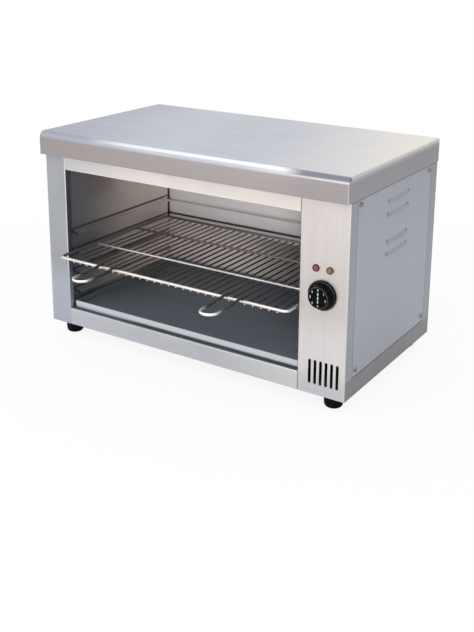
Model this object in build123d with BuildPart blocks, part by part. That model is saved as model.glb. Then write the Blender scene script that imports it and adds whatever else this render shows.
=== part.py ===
from build123d import *
import os

os.makedirs("parts", exist_ok=True)

# Cheese melter: an open-fronted countertop oven cabinet with elements in its roof, a wire rack
# on pressed runners, a crumb tray, and a control bay behind the right-hand panel.
#
# Millimetres. +X is right seen from the front, -Y is the front and +Z is up. The origin lies on
# the surface that the feet stand on, under the middle of the whole outline.

# ---------------------------------------------------------------- driving dimensions

# Sheet metal in general
SHEET = 1.0                   # thickness of every folded sheet but the tray
BEND = 1.5                    # outside radius of a fold
SHORT_BEND = 0.7              # outside radius of the folds along the top and foot of the sides
SEAM = 0.3                    # gap between sheets that meet edge to edge
SEAT_GAP = 0.3                # running gap under a part that slides

# Outer body
BODY_WIDTH = 600.0
BODY_DEPTH = 328.0            # front face to the outside of the rear panel
BODY_HEIGHT = 354.8           # lower edge of the body to the underside of the top cover
POST_WIDTH = 44.8             # left-hand post
CONTROL_WIDTH = 82.8          # control panel, right of the opening
BOTTOM_RAIL_HEIGHT = 31.2
TOP_RAIL_HEIGHT = 65.3        # opening to the top of the body, partly behind the fascia
RETURN_DEPTH = 9.5            # fold back around the opening
RAIL_FLANGE = 20.0            # inner flanges of the two front rails
TOP_FLANGE = 12.0             # inward folds at the top and rear of the end frames
BASE_FLANGE = 44.0            # inward fold under the end frames, over the feet

# Top cover
COVER_OVERHANG = 12.8         # front of the cover ahead of the front face
COVER_FASCIA = 40.6           # visible height of its skirts
COVER_NOSE = 11.0             # outside radius along its front edge
COVER_EDGE = 2.0              # outside radius along its other edges
COVER_FIT = 0.1               # gap between its skirts and the body

# Side windows and side covers
WINDOW_FRONT = 22.0           # front face to the window
WINDOW_REAR = 26.0            # window to the rear of the body
WINDOW_SILL = 31.0            # lower edge of the body to the window
WINDOW_HEAD = 15.0            # window to the top of the body
WINDOW_RADIUS = 2.0
LEDGE_INSIDE = 14.0           # ledge that carries the side cover, inside the window edge
LEDGE_OUTSIDE = 10.0          # part of the ledge welded behind the frame
COVER_GAP = 0.8               # gap all round the side cover in its window
COVER_SCREW_INSET = 9.0       # screw centre to the front or rear edge of the side cover
COVER_SCREW_RISE = 11.5       # screw centre to the lower edge
COVER_SCREW_DROP = 32.7       # screw centre to the upper edge
LOUVRE_LENGTH = 76.0
LOUVRE_HEIGHT = 7.0
LOUVRE_PROUD = 1.8
LOUVRE_SLOT = 2.0
LOUVRE_MIDDLE = 168.0         # front face to the middle of the louvres
LOUVRE_DROPS = (155.8, 135.8, 90.8, 68.8)       # top of the body to the foot of each louvre

# Screws
SCREW_SHANK = 4.0
SCREW_FIT = 0.05              # radial clearance of a shank in its hole
SCREW_LENGTH = 8.0
SCREW_HEAD = 7.6
SCREW_HEAD_HEIGHT = 2.3
SCREW_RECESS = 1.2            # depth of the cross recess
SCREW_RECESS_WIDTH = 1.1
SCREW_RECESS_LENGTH = 4.4

# Rear panel
VENT_COUNT = 8
VENT_PITCH = 10.0
VENT_LENGTH = 60.0
VENT_WIDTH = 4.0
VENT_MIDDLE_HEIGHT = 200.0    # above the lower edge of the body
REAR_SCREW_INSET = 7.0        # from the side of the body
REAR_SCREW_RISE = 20.0        # lowest screw above the lower edge of the body
REAR_SCREW_DROP = 54.8        # highest screw below the top of the body
LID_SCREW_DROP = 22.0         # below the top of the cover
LID_SCREW_INSET = 50.0        # outer screws to the sides of the body

# Cavity lining
LINER_SETBACK = 6.8           # lining wall behind the edge of the opening
REAR_SPACE = 20.2             # rear lining to the rear of the body
ROOF_RISE = 24.0              # roof of the cavity above the opening
RUNNER_COUNT = 4
RUNNER_FIRST = 28.6           # floor of the cavity to the first runner seat
RUNNER_PITCH = 36.9
RUNNER_PROUD = 15.5
RUNNER_SEAT = 9.0             # flat top of a runner
RUNNER_SLOPE = 4.0            # rise of the slope behind the seat
RUNNER_NOSE = 3.5             # height of its front
RUNNER_TAPER = 4.0            # drop of the slope under it
RUNNER_END_GAP = 18.0         # closed end of a runner to the rear lining
REAR_BEAD_HEIGHTS = (105.4, 134.5)              # underside of a bead above the cavity floor
REAR_BEAD_HEIGHT = 5.0
REAR_BEAD_PROUD = 2.5
REAR_BEAD_MARGIN = 8.0        # ends of a bead to the side linings
LINER_FLANGE = 10.0
FLOOR_LEG_MARGIN = 50.0       # ends of the floor's side legs to its front and rear
INSULATION_THICKNESS = 20.0
RIGHT_INSULATION_THICKNESS = 10.0
REAR_INSULATION_THICKNESS = 14.0
ROOF_INSULATION_THICKNESS = 20.0
INSULATION_MARGIN = 14.0

# Wire rack
RACK_LEVEL = 3                # runner that the rack lies on, counted from below
RACK_SIDE_GAP = 9.5           # side wire to the lining beside it
RACK_REAR_GAP = 23.0          # rear wire to the rear lining
RACK_PROUD = 26.8             # front wire ahead of the front face
RACK_CORNER = 9.0             # bend radius of the frame wire, at its axis
RACK_FRAME_WIRE = 5.0
RACK_CROSS_WIRE = 4.0
RACK_CROSS_SETBACK = 97.0     # cross wires from the front and from the rear wire
RACK_ROD = 3.0
RACK_ROD_PITCH = 14.75
RACK_ROD_MARGIN = 17.0        # least space between a side wire and the first rod, axis to axis
RACK_ROD_END = 1.0            # rods past the axes of the front and rear wires
WELD_BITE = 0.3               # how far crossing wires are melted into each other
HANDLE_WIRE = 4.5
HANDLE_WIDTH = 29.0           # between the axes of its legs
HANDLE_REACH = 81.0           # loop ahead of the front wire
HANDLE_TAIL = 4.0             # leg behind and in front of the front wire's axis
HANDLE_RAMP = 40.0            # length over which the leg comes down
HANDLE_DROP = 2.4             # how far it comes down
HANDLE_RAMP_BEND = 7.0
LEFT_HANDLE_OFFSET = 120.0    # from the middle of the rack
RIGHT_HANDLE_OFFSET = 135.0

# Crumb tray
TRAY_SIDE_GAP = 3.6           # side of the tray to the edge of the opening
TRAY_HEIGHT = 11.7
TRAY_SHEET = 0.8
TRAY_HEM = 2.0                # thickness of its folded front lip
TRAY_RECESS = 9.0             # lip behind the front face
TRAY_REAR_GAP = 6.0
TRAY_CORNER = 3.0

# Heating elements
ELEMENT_TUBE = 8.0
ELEMENT_DROP = 14.0           # axis below the roof of the cavity
ELEMENT_LEGS = 60.0           # between the two legs of one element
ELEMENT_BEND = 26.0
ELEMENT_SETBACK = 85.0        # front face to the middle of the front element
ELEMENT_PITCH = 120.0
ELEMENT_END_GAP = 25.0        # loop to the left lining
ELEMENT_TAIL = 16.0           # sheath past the right lining
BUSH_SLEEVE = 12.0
BUSH_SHOULDER = 18.0
BUSH_SHOULDER_LENGTH = 3.0
BUSH_LENGTH = 12.0
BUSH_FIT = 0.1
BUSH_NUT_FLATS = 19.0
BUSH_NUT_LENGTH = 6.0
STUD_DIAMETER = 4.0
STUD_LENGTH = 10.0
STUD_BEAD = 7.6
STUD_BEAD_LENGTH = 4.0
HANGER_OFFSET = 110.0         # from the middle of the cavity
HANGER_SHEET = 1.5
HANGER_MARGIN = 9.0
HANGER_FIT = 0.15
HANGER_FOOT = 10.0

# Controls
CONTROL_INSET = 42.6          # right side of the body to the axis of the controls
KNOB_HEIGHT = 166.0           # axis above the lower edge of the body
KNOB_SKIRT = 47.4
KNOB_SKIRT_THICKNESS = 3.6
KNOB_BODY_BASE = 41.0
KNOB_BODY_FACE = 34.4
KNOB_LENGTH = 15.4
KNOB_GAP = 0.6                # between the panel and the skirt
KNOB_EDGE = 1.4
KNOB_DISH = 38.0              # recess at the back
KNOB_DISH_DEPTH = 2.6
KNOB_BORE_DEPTH = 11.0
SPINDLE = 6.0
SPINDLE_FIT = 0.05
SPINDLE_FLAT = 1.4            # depth of the flat
REGULATOR_WIDTH = 42.0
REGULATOR_HEIGHT = 46.0
REGULATOR_DEPTH = 30.0
REGULATOR_BUSH = 9.6
REGULATOR_SCREWS = 28.0
REGULATOR_TAB = 6.3
REGULATOR_TAB_LENGTH = 8.0
REGULATOR_TAB_THICKNESS = 0.8
REGULATOR_TAB_OFFSET = 9.0
LAMP_RISE = 41.4              # lamp axes above the knob axis
LAMP_PITCH = 23.4
LAMP_LENS = 11.8
LAMP_LENS_RIM = 1.2
LAMP_LENS_DOME = 3.4
LAMP_BEZEL = 14.2
LAMP_BEZEL_THICKNESS = 1.0
LAMP_SHANK = 9.8
LAMP_SHANK_LENGTH = 7.0
LAMP_FIT = 0.1
LAMP_BODY = 11.5
LAMP_BODY_LENGTH = 18.0
LAMP_CLIP = 14.0
LAMP_CLIP_THICKNESS = 1.2
SLOT_COUNT = 6
SLOT_PITCH = 9.55
SLOT_WIDTH = 5.0
SLOT_LENGTH = 40.5
SLOT_HEIGHT = 37.7            # middle of the slots above the lower edge of the body
SLOT_OFFSET = 4.7             # middle of the slots right of the axis of the controls

# Supply entry, terminals and leads
GLAND_HEIGHT = 42.0           # above the lower edge of the body
GLAND_THREAD = 20.0
GLAND_FIT = 0.2
GLAND_FLATS = 24.0
GLAND_HEX_LENGTH = 8.0
GLAND_DOME_LENGTH = 16.0
GLAND_DOME = 23.0
GLAND_DOME_END = 15.0
GLAND_BORE = 9.0
GLAND_SHANK = 11.0
LOCKNUT_FLATS = 26.0
LOCKNUT_LENGTH = 5.0
BLOCK_WIDTH = 36.0
BLOCK_DEPTH = 22.0
BLOCK_HEIGHT = 18.0
BLOCK_POLES = 3
BLOCK_POLE_PITCH = 12.0
BLOCK_POLE_BORE = 5.0
BLOCK_POLE_DEPTH = 6.0
BLOCK_SETBACK = 70.0          # ahead of the rear of the body
EARTH_SETBACK = 105.0
EARTH_OFFSET = 20.0           # stud left of the axis of the controls
EARTH_STUD = 5.0
EARTH_STUD_LENGTH = 18.0
EARTH_NUT_FLATS = 8.0
EARTH_NUT_LENGTH = 4.0
LEAD = 3.0
LEAD_BEND = 8.0
LEAD_RISE = 110.0             # height where the supply lead turns forward
LEAD_REACH = 30.0             # straight run behind the regulator
LINK_REACH = 12.0             # loop of the link between the two elements

# Feet
FOOT_HEIGHT = 23.5
FOOT_TOP = 33.0
FOOT_BOTTOM = 29.0
FOOT_EDGE = 6.0
FOOT_INSET_SIDE = 31.0
FOOT_INSET_FRONT = 25.2           # and from the rear
FOOT_SCREW = 5.0
FOOT_SCREW_HEAD = 10.0
FOOT_SCREW_HEAD_HEIGHT = 3.2
FOOT_SCREW_SEAT = 9.0         # rubber between the screw head and the body
FOOT_NUT_FLATS = 8.0
FOOT_NUT_LENGTH = 4.5

# ---------------------------------------------------------------- levels and planes

rack_reach = RACK_PROUD + HANDLE_REACH + HANDLE_WIRE / 2
gland_reach = GLAND_HEX_LENGTH + GLAND_DOME_LENGTH
body_front = (rack_reach - BODY_DEPTH - gland_reach) / 2
body_rear = body_front + BODY_DEPTH
body_right = BODY_WIDTH / 2
body_left = -body_right
body_bottom = FOOT_HEIGHT
body_top = body_bottom + BODY_HEIGHT
rear_frame = body_rear - SHEET

opening_left = body_left + POST_WIDTH
opening_right = body_right - CONTROL_WIDTH
opening_bottom = body_bottom + BOTTOM_RAIL_HEIGHT
opening_top = body_top - TOP_RAIL_HEIGHT
rail_length = opening_right - opening_left - 2 * SEAM

liner_left = opening_left - LINER_SETBACK
liner_right = opening_right + LINER_SETBACK
liner_front = body_front + RETURN_DEPTH + SEAM
liner_rear = body_rear - REAR_SPACE
liner_width = liner_right - liner_left
cavity_middle = (liner_left + liner_right) / 2
cavity_floor_top = opening_bottom + SHEET
cavity_roof = opening_top + ROOF_RISE

rack_seat = cavity_floor_top + RUNNER_FIRST + (RACK_LEVEL - 1) * RUNNER_PITCH
rack_level = rack_seat + SEAT_GAP + RACK_FRAME_WIRE / 2
rack_front = body_front - RACK_PROUD
rack_rear = liner_rear - RACK_REAR_GAP - RACK_FRAME_WIRE / 2
rack_depth = rack_rear - rack_front
rack_width = liner_width - 2 * RACK_SIDE_GAP - RACK_FRAME_WIRE
rod_count = int((rack_width - 2 * RACK_ROD_MARGIN) / RACK_ROD_PITCH) + 1

control_axis = body_right - CONTROL_INSET
knob_level = body_bottom + KNOB_HEIGHT
lamp_level = knob_level + LAMP_RISE
panel_back = body_front + SHEET
regulator_rear = panel_back + REGULATOR_DEPTH

element_level = cavity_roof - ELEMENT_DROP
element_rows = [body_front + ELEMENT_SETBACK + row * ELEMENT_PITCH for row in range(2)]
element_legs = [row + leg * ELEMENT_LEGS / 2 for row in element_rows for leg in (-1, 1)]
element_end = liner_right + ELEMENT_TAIL
stud_start = element_end + STUD_BEAD_LENGTH
stud_end = stud_start + STUD_LENGTH

base_top = body_bottom + 2 * SHEET


def facing_front(y):
    """Plane at depth y that faces the front: its x runs right and its y runs up."""
    return Plane(origin=(0, y, 0), x_dir=(1, 0, 0), z_dir=(0, -1, 0))


def facing_rear(y):
    """Plane at depth y that faces the rear: its x runs left and its y runs up."""
    return Plane(origin=(0, y, 0), x_dir=(-1, 0, 0), z_dir=(0, 1, 0))


def finish(piece, name):
    """Label a finished piece and write its file."""
    piece.part.label = name
    export_step(piece.part, f"parts/{name}.step")


def pan_screw(length):
    """Cross-recessed pan-head screw along -Z, with the underside of its head at z = 0."""
    with BuildPart() as screw:
        Cylinder(SCREW_SHANK / 2, length, align=(Align.CENTER, Align.CENTER, Align.MAX))
        Cylinder(SCREW_HEAD / 2, SCREW_HEAD_HEIGHT, align=(Align.CENTER, Align.CENTER, Align.MIN))
        rim = screw.edges().group_by(Axis.Z)[-1]
        fillet(rim, SCREW_HEAD_HEIGHT / 2)
        with BuildSketch(Plane.XY.offset(SCREW_HEAD_HEIGHT)):
            Rectangle(SCREW_RECESS_LENGTH, SCREW_RECESS_WIDTH)
            Rectangle(SCREW_RECESS_WIDTH, SCREW_RECESS_LENGTH)
        extrude(amount=-SCREW_RECESS, mode=Mode.SUBTRACT)
    return screw.part


def hex_nut(flats, length, bore):
    """Hexagon nut along +Z, standing on z = 0."""
    with BuildPart() as nut:
        with BuildSketch():
            RegularPolygon(flats / 2, 6, major_radius=False)
            Circle(bore / 2, mode=Mode.SUBTRACT)
        extrude(amount=length)
    return nut.part


# ---------------------------------------------------------------- end frames

window_width = BODY_DEPTH - WINDOW_FRONT - WINDOW_REAR
window_height = BODY_HEIGHT - WINDOW_SILL - WINDOW_HEAD
window_middle = (
    body_front + WINDOW_FRONT + window_width / 2,
    body_bottom + WINDOW_SILL + window_height / 2,
)
cover_width = window_width - 2 * COVER_GAP
cover_height = window_height - 2 * COVER_GAP
screw_reach = cover_width / 2 - COVER_SCREW_INSET
screw_low = window_middle[1] - cover_height / 2 + COVER_SCREW_RISE
screw_high = window_middle[1] + cover_height / 2 - COVER_SCREW_DROP
cover_screw_spots = [
    (window_middle[0] + end * screw_reach, level)
    for end in (-1, 1)
    for level in (screw_low, screw_high)
]


def end_frame(face_width):
    """Right-hand end frame, one sheet: opening return, face, side with its window, rear flange."""
    inner_edge = body_right - face_width
    with BuildPart() as frame:
        with BuildSketch(Plane.XY.offset(body_bottom)):
            with BuildLine():
                FilletPolyline(
                    (inner_edge, body_front + RETURN_DEPTH),
                    (inner_edge, body_front),
                    (body_right, body_front),
                    (body_right, rear_frame),
                    (body_right - TOP_FLANGE, rear_frame),
                    radius=BEND,
                )
                offset(amount=SHEET, side=Side.LEFT)
            make_face()
        extrude(amount=BODY_HEIGHT)
        fillet(frame.edges().filter_by(Axis.Y).group_by(Axis.X)[-1], SHORT_BEND)
        with BuildSketch(Plane.YZ.offset(body_right - SHEET)):
            with Locations(window_middle):
                RectangleRounded(window_width, window_height, WINDOW_RADIUS)
        extrude(amount=SHEET, mode=Mode.SUBTRACT)
        with BuildSketch(Plane.YZ.offset(body_right - 2 * SHEET)):
            with Locations(window_middle):
                Rectangle(window_width + 2 * LEDGE_OUTSIDE, window_height + 2 * LEDGE_OUTSIDE)
                Rectangle(
                    window_width - 2 * LEDGE_INSIDE,
                    window_height - 2 * LEDGE_INSIDE,
                    mode=Mode.SUBTRACT,
                )
            with Locations(*cover_screw_spots):
                Circle(SCREW_SHANK / 2 + SCREW_FIT, mode=Mode.SUBTRACT)
        extrude(amount=SHEET)
        flange_start = body_front + SHEET
        flange_length = rear_frame - SHEET - flange_start
        with BuildSketch(Plane.XY.offset(body_top - SHEET)):
            with Locations((body_right - SHEET, flange_start)):
                Rectangle(TOP_FLANGE, flange_length, align=(Align.MAX, Align.MIN))
        extrude(amount=SHEET)
        with BuildSketch(Plane.XY.offset(body_bottom)):
            with Locations((body_right - SHEET, flange_start)):
                Rectangle(BASE_FLANGE - SHEET, flange_length, align=(Align.MAX, Align.MIN))
            with Locations(*foot_spots_right):
                Circle(FOOT_SCREW / 2 + SCREW_FIT, mode=Mode.SUBTRACT)
        extrude(amount=SHEET)
        with Locations(facing_rear(rear_frame)):
            with Locations(*[(REAR_SCREW_INSET - body_right, z) for z in rear_screw_levels]):
                Hole(SCREW_SHANK / 2 + SCREW_FIT, depth=2 * SHEET)
    return frame.part


foot_spots_right = [
    (body_right - FOOT_INSET_SIDE, body_front + FOOT_INSET_FRONT),
    (body_right - FOOT_INSET_SIDE, body_rear - FOOT_INSET_FRONT),
]
foot_spots = foot_spots_right + [(-x, y) for x, y in foot_spots_right]
rear_screw_low = body_bottom + REAR_SCREW_RISE
rear_screw_high = body_top - REAR_SCREW_DROP
rear_screw_levels = [rear_screw_low, (rear_screw_low + rear_screw_high) / 2, rear_screw_high]

with BuildPart() as left_end_frame:
    mirror(end_frame(POST_WIDTH), about=Plane.YZ)
finish(left_end_frame, "left_end_frame")

slot_middle = (control_axis + SLOT_OFFSET, body_bottom + SLOT_HEIGHT)
lamp_spots = [(control_axis + side * LAMP_PITCH / 2, lamp_level) for side in (-1, 1)]
regulator_screw_spots = [
    (control_axis + side * REGULATOR_SCREWS / 2, knob_level) for side in (-1, 1)
]

with BuildPart() as right_end_frame:
    add(end_frame(CONTROL_WIDTH))
    with BuildSketch(facing_front(body_front)):
        with Locations((control_axis, knob_level)):
            Circle(REGULATOR_BUSH / 2 + SCREW_FIT)
        with Locations(*regulator_screw_spots):
            Circle(SCREW_SHANK / 2 + SCREW_FIT)
        with Locations(*lamp_spots):
            Circle(LAMP_SHANK / 2 + LAMP_FIT)
        with Locations(slot_middle):
            with GridLocations(SLOT_PITCH, 0, SLOT_COUNT, 1):
                SlotOverall(SLOT_LENGTH, SLOT_WIDTH, rotation=90)
    extrude(amount=-SHEET, mode=Mode.SUBTRACT)
finish(right_end_frame, "right_end_frame")

# ---------------------------------------------------------------- front rails, base and rear

with BuildPart() as top_rail:
    with BuildSketch(Plane.YZ.offset(opening_left + SEAM)):
        with BuildLine():
            FilletPolyline(
                (body_front + RETURN_DEPTH, opening_top),
                (body_front, opening_top),
                (body_front, body_top),
                (body_front + RAIL_FLANGE, body_top),
                radius=BEND,
            )
            offset(amount=SHEET, side=Side.RIGHT)
        make_face()
    extrude(amount=rail_length)
finish(top_rail, "top_rail")

with BuildPart() as bottom_rail:
    with BuildSketch(Plane.YZ.offset(opening_left + SEAM)):
        with BuildLine():
            FilletPolyline(
                (body_front + RAIL_FLANGE, opening_bottom),
                (body_front, opening_bottom),
                (body_front, body_bottom),
                (body_front + RAIL_FLANGE, body_bottom),
                radius=BEND,
            )
            offset(amount=SHEET, side=Side.LEFT)
        make_face()
    extrude(amount=rail_length)
finish(bottom_rail, "bottom_rail")

pan_front = liner_front
pan_rear = rear_frame - SHEET - SEAM
pan_half_width = body_right - SHEET - SEAM
block_middle = (control_axis, body_rear - BLOCK_SETBACK)
earth_spot = (control_axis - EARTH_OFFSET, body_rear - EARTH_SETBACK)

with BuildPart() as base_pan:
    with BuildSketch(Plane.YZ.offset(-pan_half_width)):
        with BuildLine():
            FilletPolyline(
                (pan_front, body_bottom + SHEET + TOP_FLANGE),
                (pan_front, body_bottom + SHEET),
                (pan_rear, body_bottom + SHEET),
                (pan_rear, body_bottom + SHEET + TOP_FLANGE),
                radius=BEND,
            )
            offset(amount=SHEET, side=Side.LEFT)
        make_face()
    extrude(amount=2 * pan_half_width)
    with BuildSketch(Plane.XY.offset(body_bottom + SHEET)):
        with Locations(*foot_spots):
            Circle(FOOT_SCREW / 2 + SCREW_FIT)
        with Locations(earth_spot):
            Circle(EARTH_STUD / 2 + SCREW_FIT)
    extrude(amount=SHEET, mode=Mode.SUBTRACT)
finish(base_pan, "base_pan")

gland_level = body_bottom + GLAND_HEIGHT
lid_screw_level = body_top + SHEET - LID_SCREW_DROP
lid_screw_reach = body_right - LID_SCREW_INSET
lid_screw_spots = [(side * lid_screw_reach, lid_screw_level) for side in (-1, 0, 1)]
rear_screw_spots = [
    (side * (body_right - REAR_SCREW_INSET), level)
    for side in (-1, 1)
    for level in rear_screw_levels
]

with BuildPart() as rear_panel:
    with BuildSketch(facing_rear(rear_frame)):
        with Locations((0, body_bottom)):
            panel_height = BODY_HEIGHT - COVER_EDGE
            Rectangle(BODY_WIDTH, panel_height, align=(Align.CENTER, Align.MIN))
        with Locations(*rear_screw_spots, *lid_screw_spots):
            Circle(SCREW_SHANK / 2 + SCREW_FIT, mode=Mode.SUBTRACT)
        with Locations((-control_axis, gland_level)):
            Circle(GLAND_THREAD / 2 + GLAND_FIT, mode=Mode.SUBTRACT)
        with Locations((-control_axis, body_bottom + VENT_MIDDLE_HEIGHT)):
            with GridLocations(0, VENT_PITCH, 1, VENT_COUNT):
                SlotOverall(VENT_LENGTH, VENT_WIDTH, mode=Mode.SUBTRACT)
    extrude(amount=SHEET)
finish(rear_panel, "rear_panel")

# ---------------------------------------------------------------- top cover and side covers

cover_half_width = body_right + COVER_FIT + SHEET
cover_front = body_front - COVER_OVERHANG
cover_rear = body_rear + COVER_FIT + SHEET
cover_top = body_top + SHEET
fascia_bottom = cover_top - COVER_FASCIA


def cover_block(inset, edge_radius):
    """Solid inside the top cover's outline, drawn in by an inset on all but its foot."""
    depth = cover_rear - cover_front - 2 * inset
    with BuildPart() as block:
        with BuildSketch(Plane.XY.offset(fascia_bottom)):
            with Locations((0, (cover_front + cover_rear) / 2)):
                Rectangle(2 * (cover_half_width - inset), depth)
        extrude(amount=COVER_FASCIA - inset)
        top_edges = block.edges().group_by(Axis.Z)[-1]
        nose = top_edges.sort_by(Axis.Y)[0]
        fillet(nose, COVER_NOSE - inset)
        if edge_radius:
            fillet(block.edges().group_by(Axis.Z)[-1].sort_by(Axis.Y)[1:], edge_radius)
    return block.part


with BuildPart() as top_cover:
    add(cover_block(0, COVER_EDGE))
    add(cover_block(SHEET, 0), mode=Mode.SUBTRACT)
    lip_depth = COVER_OVERHANG - COVER_FIT
    with BuildSketch(Plane.XY.offset(fascia_bottom)):
        with Locations((0, cover_front)):
            Rectangle(2 * cover_half_width, lip_depth, align=(Align.CENTER, Align.MIN))
    extrude(amount=SHEET)
    with BuildSketch(facing_rear(cover_rear)):
        with Locations(*lid_screw_spots):
            Circle(SCREW_SHANK / 2 + SCREW_FIT)
    extrude(amount=-SHEET, mode=Mode.SUBTRACT)
finish(top_cover, "top_cover")


def side_cover():
    """Right-hand side cover: a flat sheet, flush in the window of its end frame."""
    with BuildPart() as cover:
        with BuildSketch(Plane.YZ.offset(body_right - SHEET)):
            with Locations(window_middle):
                RectangleRounded(cover_width, cover_height, WINDOW_RADIUS)
            with Locations(*cover_screw_spots):
                Circle(SCREW_SHANK / 2 + SCREW_FIT, mode=Mode.SUBTRACT)
        extrude(amount=SHEET)
    return cover.part


with BuildPart() as left_side_cover:
    mirror(side_cover(), about=Plane.YZ)
finish(left_side_cover, "left_side_cover")

with BuildPart() as right_side_cover:
    add(side_cover())
    for louvre_drop in LOUVRE_DROPS:
        louvre_foot = body_top - louvre_drop
        louvre_start = body_front + LOUVRE_MIDDLE - LOUVRE_LENGTH / 2
        with BuildSketch(Plane.YZ.offset(body_right - SHEET)):
            with Locations((body_front + LOUVRE_MIDDLE, louvre_foot)):
                Rectangle(LOUVRE_LENGTH, LOUVRE_HEIGHT, align=(Align.CENTER, Align.MIN))
        extrude(amount=SHEET, mode=Mode.SUBTRACT)
        with BuildSketch(Plane.XZ.offset(-louvre_start)):
            with BuildLine():
                Polyline(
                    (body_right - SHEET, louvre_foot + LOUVRE_HEIGHT),
                    (body_right, louvre_foot + LOUVRE_HEIGHT),
                    (body_right + LOUVRE_PROUD, louvre_foot + LOUVRE_SLOT),
                    (body_right + LOUVRE_PROUD, louvre_foot),
                    (body_right + LOUVRE_PROUD - SHEET, louvre_foot),
                    (body_right + LOUVRE_PROUD - SHEET, louvre_foot + LOUVRE_SLOT),
                    close=True,
                )
            make_face()
        extrude(amount=-LOUVRE_LENGTH)
        with BuildSketch(Plane.YZ.offset(body_right - SHEET)):
            with Locations((body_front + LOUVRE_MIDDLE, louvre_foot)):
                with GridLocations(LOUVRE_LENGTH - SHEET, 0, 2, 1):
                    Rectangle(SHEET, LOUVRE_HEIGHT, align=(Align.CENTER, Align.MIN))
        extrude(amount=SHEET + LOUVRE_PROUD)
finish(right_side_cover, "right_side_cover")

cover_screw = pan_screw(SCREW_LENGTH)
with BuildPart() as side_cover_screws:
    for outward in (1, -1):
        face = Plane(
            origin=(outward * body_right, 0, 0), x_dir=(0, outward, 0), z_dir=(outward, 0, 0)
        )
        with Locations(face):
            with Locations(*[(outward * y, z) for y, z in cover_screw_spots]):
                add(cover_screw)
finish(side_cover_screws, "side_cover_screws")

with BuildPart() as rear_panel_screws:
    with Locations(facing_rear(body_rear)):
        with Locations(*rear_screw_spots):
            add(cover_screw)
finish(rear_panel_screws, "rear_panel_screws")

with BuildPart() as top_cover_screws:
    with Locations(facing_rear(cover_rear)):
        with Locations(*lid_screw_spots):
            add(cover_screw)
finish(top_cover_screws, "top_cover_screws")

# ---------------------------------------------------------------- cavity lining

runner_seats = [cavity_floor_top + RUNNER_FIRST + level * RUNNER_PITCH for level in range(RUNNER_COUNT)]
runner_rear = liner_rear - RUNNER_END_GAP


def runner_outline(seat):
    """Outline of one pressed runner on the left lining, from below it to above it."""
    foot = seat - RUNNER_NOSE - RUNNER_TAPER
    nose = liner_left + RUNNER_PROUD
    return [
        (liner_left, foot),
        (nose, seat - RUNNER_NOSE),
        (nose, seat),
        (nose - RUNNER_SEAT, seat),
        (liner_left, seat + RUNNER_SLOPE),
    ]


def side_liner():
    """Left-hand lining: one sheet with closed runners pressed in, a top flange and a front flange."""
    top_fold = [(liner_left, cavity_roof), (liner_left - LINER_FLANGE, cavity_roof)]
    outline = [(liner_left, cavity_floor_top)]
    for seat in runner_seats:
        outline += runner_outline(seat)
    with BuildPart() as liner:
        with BuildSketch(Plane.XZ.offset(-liner_front)):
            with BuildLine():
                Polyline(*outline, *top_fold)
                offset(amount=SHEET, side=Side.LEFT, kind=Kind.INTERSECTION)
            make_face()
        extrude(amount=-(runner_rear - liner_front))
        with BuildSketch(Plane.XZ.offset(-runner_rear)):
            with BuildLine():
                Polyline((liner_left, cavity_floor_top), *top_fold)
                offset(amount=SHEET, side=Side.LEFT, kind=Kind.INTERSECTION)
            make_face()
        extrude(amount=-(liner_rear - runner_rear))
        for seat in runner_seats:
            back = [
                (liner_left - SHEET, seat + RUNNER_SLOPE),
                (liner_left - SHEET, seat - RUNNER_NOSE - RUNNER_TAPER),
            ]
            for end in (liner_front, runner_rear - SHEET):
                with BuildSketch(Plane.XZ.offset(-end)):
                    with BuildLine():
                        Polyline(*runner_outline(seat), *back, close=True)
                    make_face()
                extrude(amount=-SHEET)
        with BuildSketch(Plane.XY.offset(cavity_floor_top)):
            with Locations((liner_left - SHEET, liner_front)):
                Rectangle(LINER_SETBACK - SEAM, SHEET, align=(Align.MIN, Align.MIN))
        extrude(amount=cavity_roof - cavity_floor_top)
    return liner.part


left_lining = side_liner()
with BuildPart() as left_liner:
    add(left_lining)
finish(left_liner, "left_liner")

element_spots = [(leg, element_level) for leg in element_legs]
with BuildPart() as right_liner:
    mirror(left_lining, about=Plane.YZ.offset(cavity_middle))
    with BuildSketch(Plane.YZ.offset(liner_right)):
        with Locations(*element_spots):
            Circle(BUSH_SLEEVE / 2 + BUSH_FIT)
    extrude(amount=SHEET, mode=Mode.SUBTRACT)
finish(right_liner, "right_liner")

bead_start = liner_left + REAR_BEAD_MARGIN
bead_length = liner_width - 2 * REAR_BEAD_MARGIN
with BuildPart() as rear_liner:
    with BuildSketch(Plane.YZ.offset(liner_left - SHEET)):
        with BuildLine():
            FilletPolyline(
                (liner_rear, cavity_floor_top),
                (liner_rear, cavity_roof),
                (liner_rear + LINER_FLANGE, cavity_roof),
                radius=BEND,
            )
            offset(amount=SHEET, side=Side.RIGHT)
        make_face()
    extrude(amount=liner_width + 2 * SHEET)
    for bead in REAR_BEAD_HEIGHTS:
        bead_middle = cavity_floor_top + bead + REAR_BEAD_HEIGHT / 2
        crest = liner_rear - REAR_BEAD_PROUD
        crest_half = REAR_BEAD_HEIGHT / 2
        bead_outline = [
            (liner_rear + SHEET, bead_middle - crest_half),
            (liner_rear, bead_middle - crest_half),
            (crest, bead_middle),
            (liner_rear, bead_middle + crest_half),
            (liner_rear + SHEET, bead_middle + crest_half),
        ]
        with BuildSketch(Plane.YZ.offset(bead_start)):
            with BuildLine():
                Polyline(*bead_outline, close=True)
            make_face()
        extrude(amount=bead_length)
        with BuildSketch(Plane.YZ.offset(bead_start + SHEET)):
            with BuildLine():
                Polyline(
                    (liner_rear + SHEET, bead_middle - crest_half + SEAM),
                    (crest + SHEET, bead_middle),
                    (liner_rear + SHEET, bead_middle + crest_half - SEAM),
                    close=True,
                )
            make_face()
        extrude(amount=bead_length - 2 * SHEET, mode=Mode.SUBTRACT)
finish(rear_liner, "rear_liner")

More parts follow.
